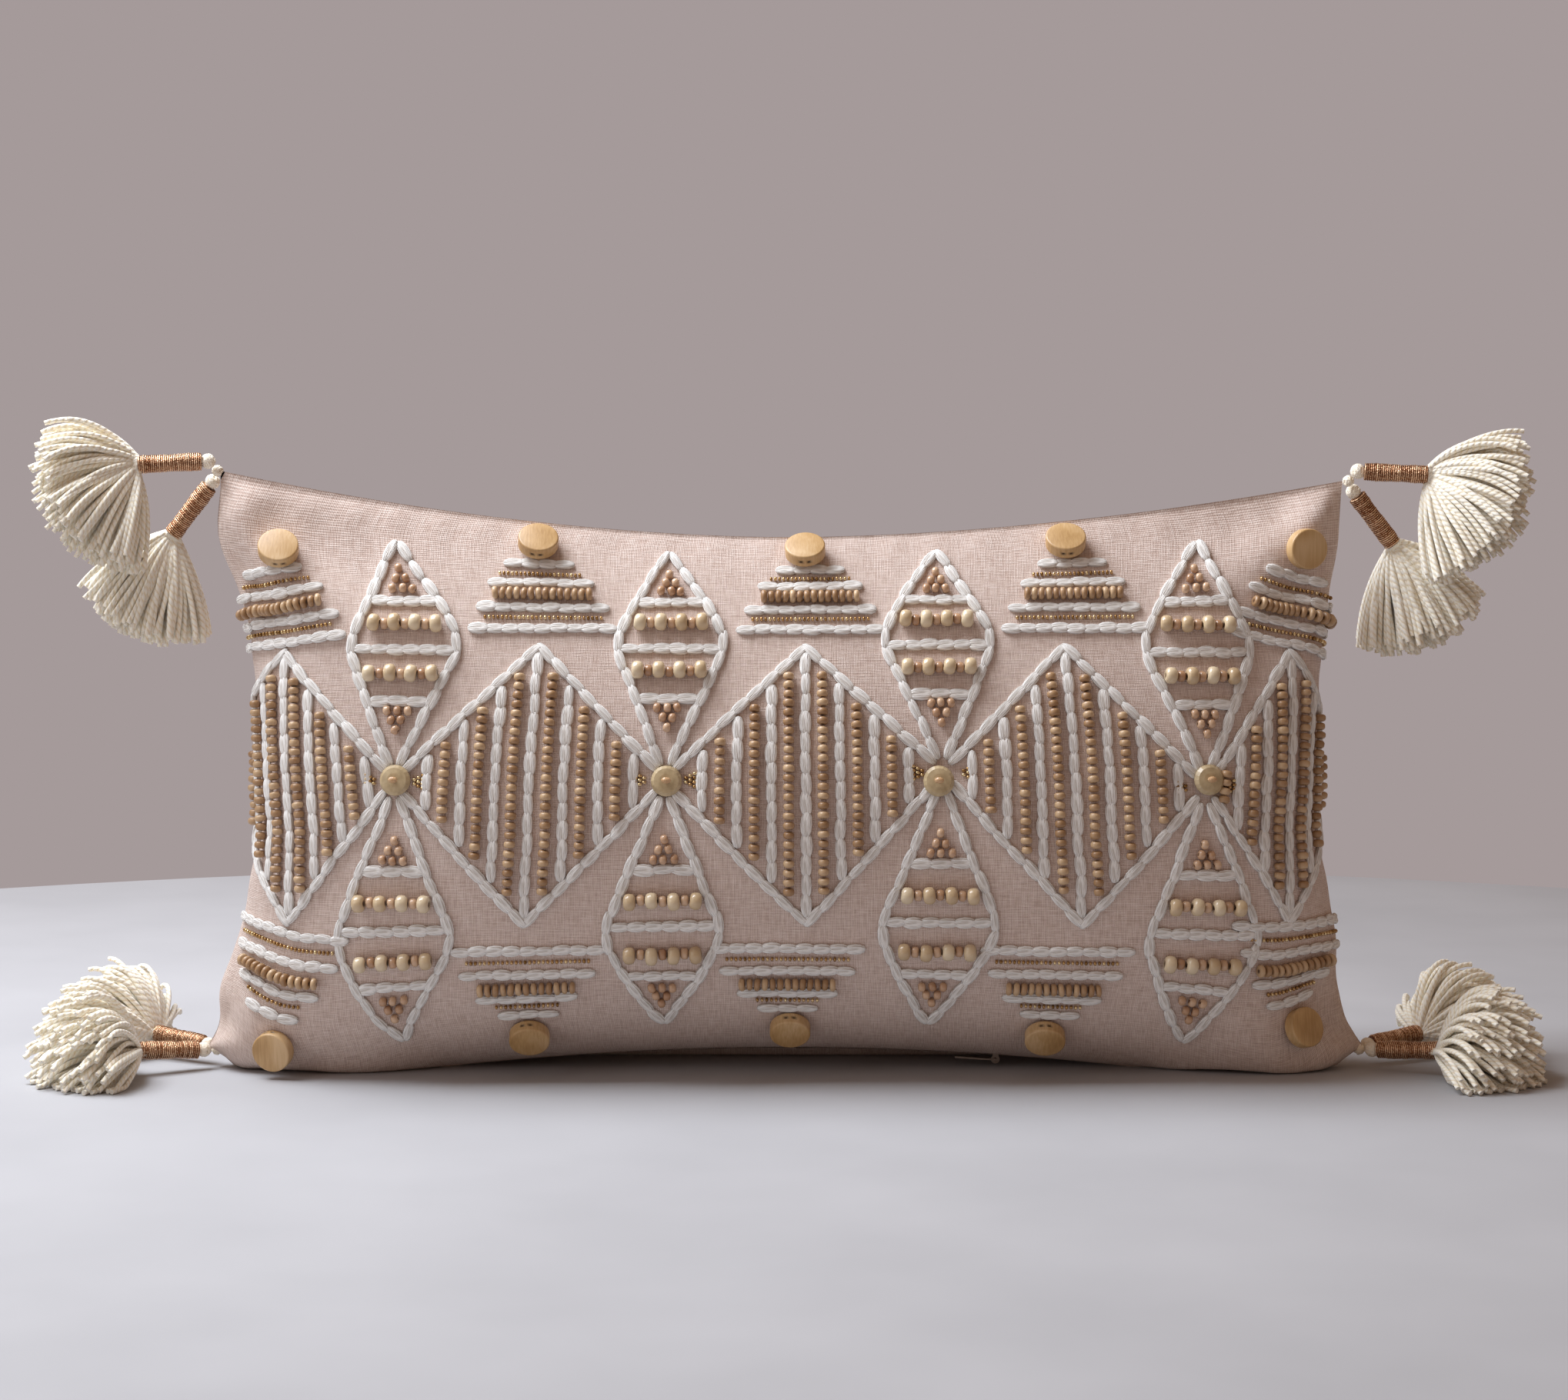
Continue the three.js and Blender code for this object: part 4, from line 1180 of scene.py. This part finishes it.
class PILLOW_OT_beading(bpy.types.Operator):
    """Strings the barrel beads, leaf beads and seed beads"""

    bl_idname = "pillow.beading"
    bl_label = "Beading"

    def execute(self, context):
        sizes, colours = context.scene.pillow_sizes, context.scene.pillow_colours
        across, pitch, big = sizes.bead_diameter / MM, sizes.bead_pitch / MM, sizes.leaf_bead / MM
        rng = random.Random(23)
        barrel = turned_wood("waxed_beech_beads", "#99734D", "#B08C66", "#C6A680", 0.42, 0.25)
        pale = turned_wood("polished_pale_beads", "#C0A47E", "#D0B792", "#DDC9A8", 0.25, 0.5)
        rose = turned_wood("polished_rosy_beads", "#AB805D", "#C09876", "#D2AF8E", 0.25, 0.5)

        beads = Strung(12, 7)
        for k in range(5):
            for column in range(-7, 8, 2):
                foot, top = diamond_column(k, column, 5.5)
                if top[1] - foot[1] > 15:
                    bead_line(beads, [foot, top], pitch, BARREL_THICK, across, rng)
        beads.piece("diamond_beads", barrel)

        beads = Strung(12, 7)
        seeds = Strung(8, 5)
        for kind, points in ladder_rungs():
            if kind == "beads":
                bead_line(beads, points, LADDER_BEADS["pitch"], LADDER_BEADS["thick"],
                          across * LADDER_BEADS["across_share"], rng)
            elif kind == "seeds":
                bead_line(seeds, points, sizes.seed_pitch / MM, SEED["thick"], SEED["across"], rng, squareness=1.0)
        beads.piece("ladder_beads", barrel)
        for across_at, up_at in BUTTONS:
            for hand in (-1, 1):
                seed_triangle(seeds, (across_at + hand * 14.5, up_at), -hand, rng)
        seeds.piece("seed_beads", seed_metal(colours))

        beads = Strung(12, 8)
        small = Strung(10, 7)
        for leaf in LEAVES:
            for share in LEAF_BEAD_ROWS:
                for n in range(LEAF_BEADS["count"]):
                    a, b = along_leaf(leaf, share, (n - (LEAF_BEADS["count"] - 1) / 2) * LEAF_BEADS["apart"])
                    large = n % 2 == 0
                    size = big if large else big * LEAF_BEADS["small_share"]
                    thick = LEAF_BEADS["large_thick" if large else "small_thick"]
                    place = seat(a, b + rng.uniform(-0.4, 0.4), (1.0, 0.0), lift=size * 0.46, reach=1.5)
                    add_bead(beads if large else small, place, thick, size * rng.uniform(0.95, 1.05), 0.72, rng)
            for share, way in LEAF_TRIANGLES:
                lower = 1 if leaf[1][1] > 0 else -1
                bead_triangle(small, along_leaf(leaf, share), way * lower, rng)
        beads.piece("leaf_beads_large", pale)
        small.piece("leaf_beads_small", rose)
        return {"FINISHED"}


class PILLOW_OT_wooden_trim(bpy.types.Operator):
    """Finishes the coin beads, the buttons, their stop beads and the zipper"""

    bl_idname = "pillow.wooden_trim"
    bl_label = "Coin beads, buttons and zipper"

    def execute(self, context):
        colours = context.scene.pillow_colours
        coin = sliced_wood(colours)
        button = plain_finish("polished_pale_button", "#AC9672", "#CAB58F", 260.0, 0.28)
        bead = plain_finish("polished_stop_bead", "#B98F63", "#D3AE84", 500.0, 0.3)
        nylon = plain_finish("woven_nylon_tape", "#CDBBAC", "#DDCDBF", 1500.0, 0.7)
        # The zinc is darker than bare zinc, as painted shade, so the slider and pull sit dark under the arch
        zinc = plain_finish("cast_zinc", "#857A70", "#9A8F85", 300.0, 0.4, metallic=0.9)
        finishes = (("junction_button", button), ("button_stop", bead),
                    ("zipper_tape", nylon), ("zipper_coil", nylon), ("zipper_slider", zinc), ("zipper_pull", zinc))
        for name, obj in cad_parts.items():
            for start, material in finishes:
                if name.startswith(start):
                    obj.data.materials.clear()
                    obj.data.materials.append(material)
        for line, row in COIN_ROWS.items():
            for k in range(5):
                nudge = row["nudge"].get(k, (0.0, 0.0))
                a = row["across"] + (k - 2) * row["pitch"] + nudge[0]
                b = row["up"] + end_drop(line, k) + nudge[1]
                place = seat(a, b, lift=COIN["thick"] / 2 + COIN["stand_off"], reach=4.0)
                place = place @ Matrix.Rotation(math.radians(row["look_up"][0 < k < 4]), 4, "X")
                piece_from(coin_bead(place, line), f"wooden_coin_{line}_{k + 1}", coin, ROOT,
                           (f"coin_bead_{line}_{k + 1}",))
        return {"FINISHED"}


class PILLOW_OT_tassels(bpy.types.Operator):
    """Ties the knots, winds the necks and hangs the yarn of the eight tassels"""

    bl_idname = "pillow.tassels"
    bl_label = "Tassels"

    def execute(self, context):
        sizes, colours = context.scene.pillow_sizes, context.scene.pillow_colours
        knot = knot_yarn(colours)
        winding = wound_thread(colours)
        for tassel in tassel_list():
            name = tassel["name"]
            yarn = bpy.data.materials.get("ivory_two_ply_cotton") or tassel_yarn(colours, tassel["length"])
            head = box_middle(f"{name}_head")
            out = Vector(tassel["out"]).normalized()
            piece_of(wrapped_knot(f"{name}_knot", head, KNOT_RADIUS, 1.1), f"{name}_knot", knot, name,
                     (f"{name}_head",))
            start = head + out * KNOT_RADIUS * 0.8
            neck_piece(name, start, out, winding, name)
            end = start + out * (NECK_LENGTH - SKIRT_OVERLAP)
            strands = skirt_strands(tassel, end, out, sizes.strands)
            mesh = mesh_from_strands(f"{name}_yarn", strands, STRAND_RADIUS)
            piece_of(mesh, f"{name}_yarn", yarn, name, (f"{name}_skirt",))
        for line in ("top", "bottom"):
            for hand in ("left", "right"):
                corner = f"{line}_{hand}"
                middle = box_middle(f"tassel_{corner}_tie")
                mesh = wrapped_knot(f"{corner}_corner_wrap", middle, 3.0, 0.95, stretch=(1, 1.35, 1), turns=6)
                piece_of(mesh, f"{corner}_corner_wrap", knot, f"tie_{corner}",
                         (f"tassel_{corner}_tie",))
        return {"FINISHED"}


OPERATORS = (PILLOW_OT_stage, PILLOW_OT_cover, PILLOW_OT_insert, PILLOW_OT_stitching, PILLOW_OT_beading,
             PILLOW_OT_wooden_trim, PILLOW_OT_tassels)


class PILLOW_PT_sidebar(bpy.types.Panel):
    """Lists the pillow's operators"""

    bl_idname = "PILLOW_PT_sidebar"
    bl_label = "Lumbar throw pillow"
    bl_space_type = "VIEW_3D"
    bl_region_type = "UI"
    bl_category = "Pillow"

    def draw(self, context):
        for settings in (context.scene.pillow_sizes, context.scene.pillow_colours):
            for name in settings.__annotations__:
                self.layout.prop(settings, name)
        for operator in OPERATORS:
            self.layout.operator(operator.bl_idname)


CLASSES = (PillowSizes, PillowColours, *OPERATORS, PILLOW_PT_sidebar)


def register():
    for each in CLASSES:
        bpy.utils.register_class(each)
    bpy.types.Scene.pillow_sizes = PointerProperty(type=PillowSizes)
    bpy.types.Scene.pillow_colours = PointerProperty(type=PillowColours)


def unregister():
    del bpy.types.Scene.pillow_colours
    del bpy.types.Scene.pillow_sizes
    for each in reversed(CLASSES):
        bpy.utils.unregister_class(each)


def main():
    register()
    for operator in OPERATORS:
        group, name = operator.bl_idname.split(".")
        getattr(getattr(bpy.ops, group), name)()


if __name__ == "__main__":
    main()
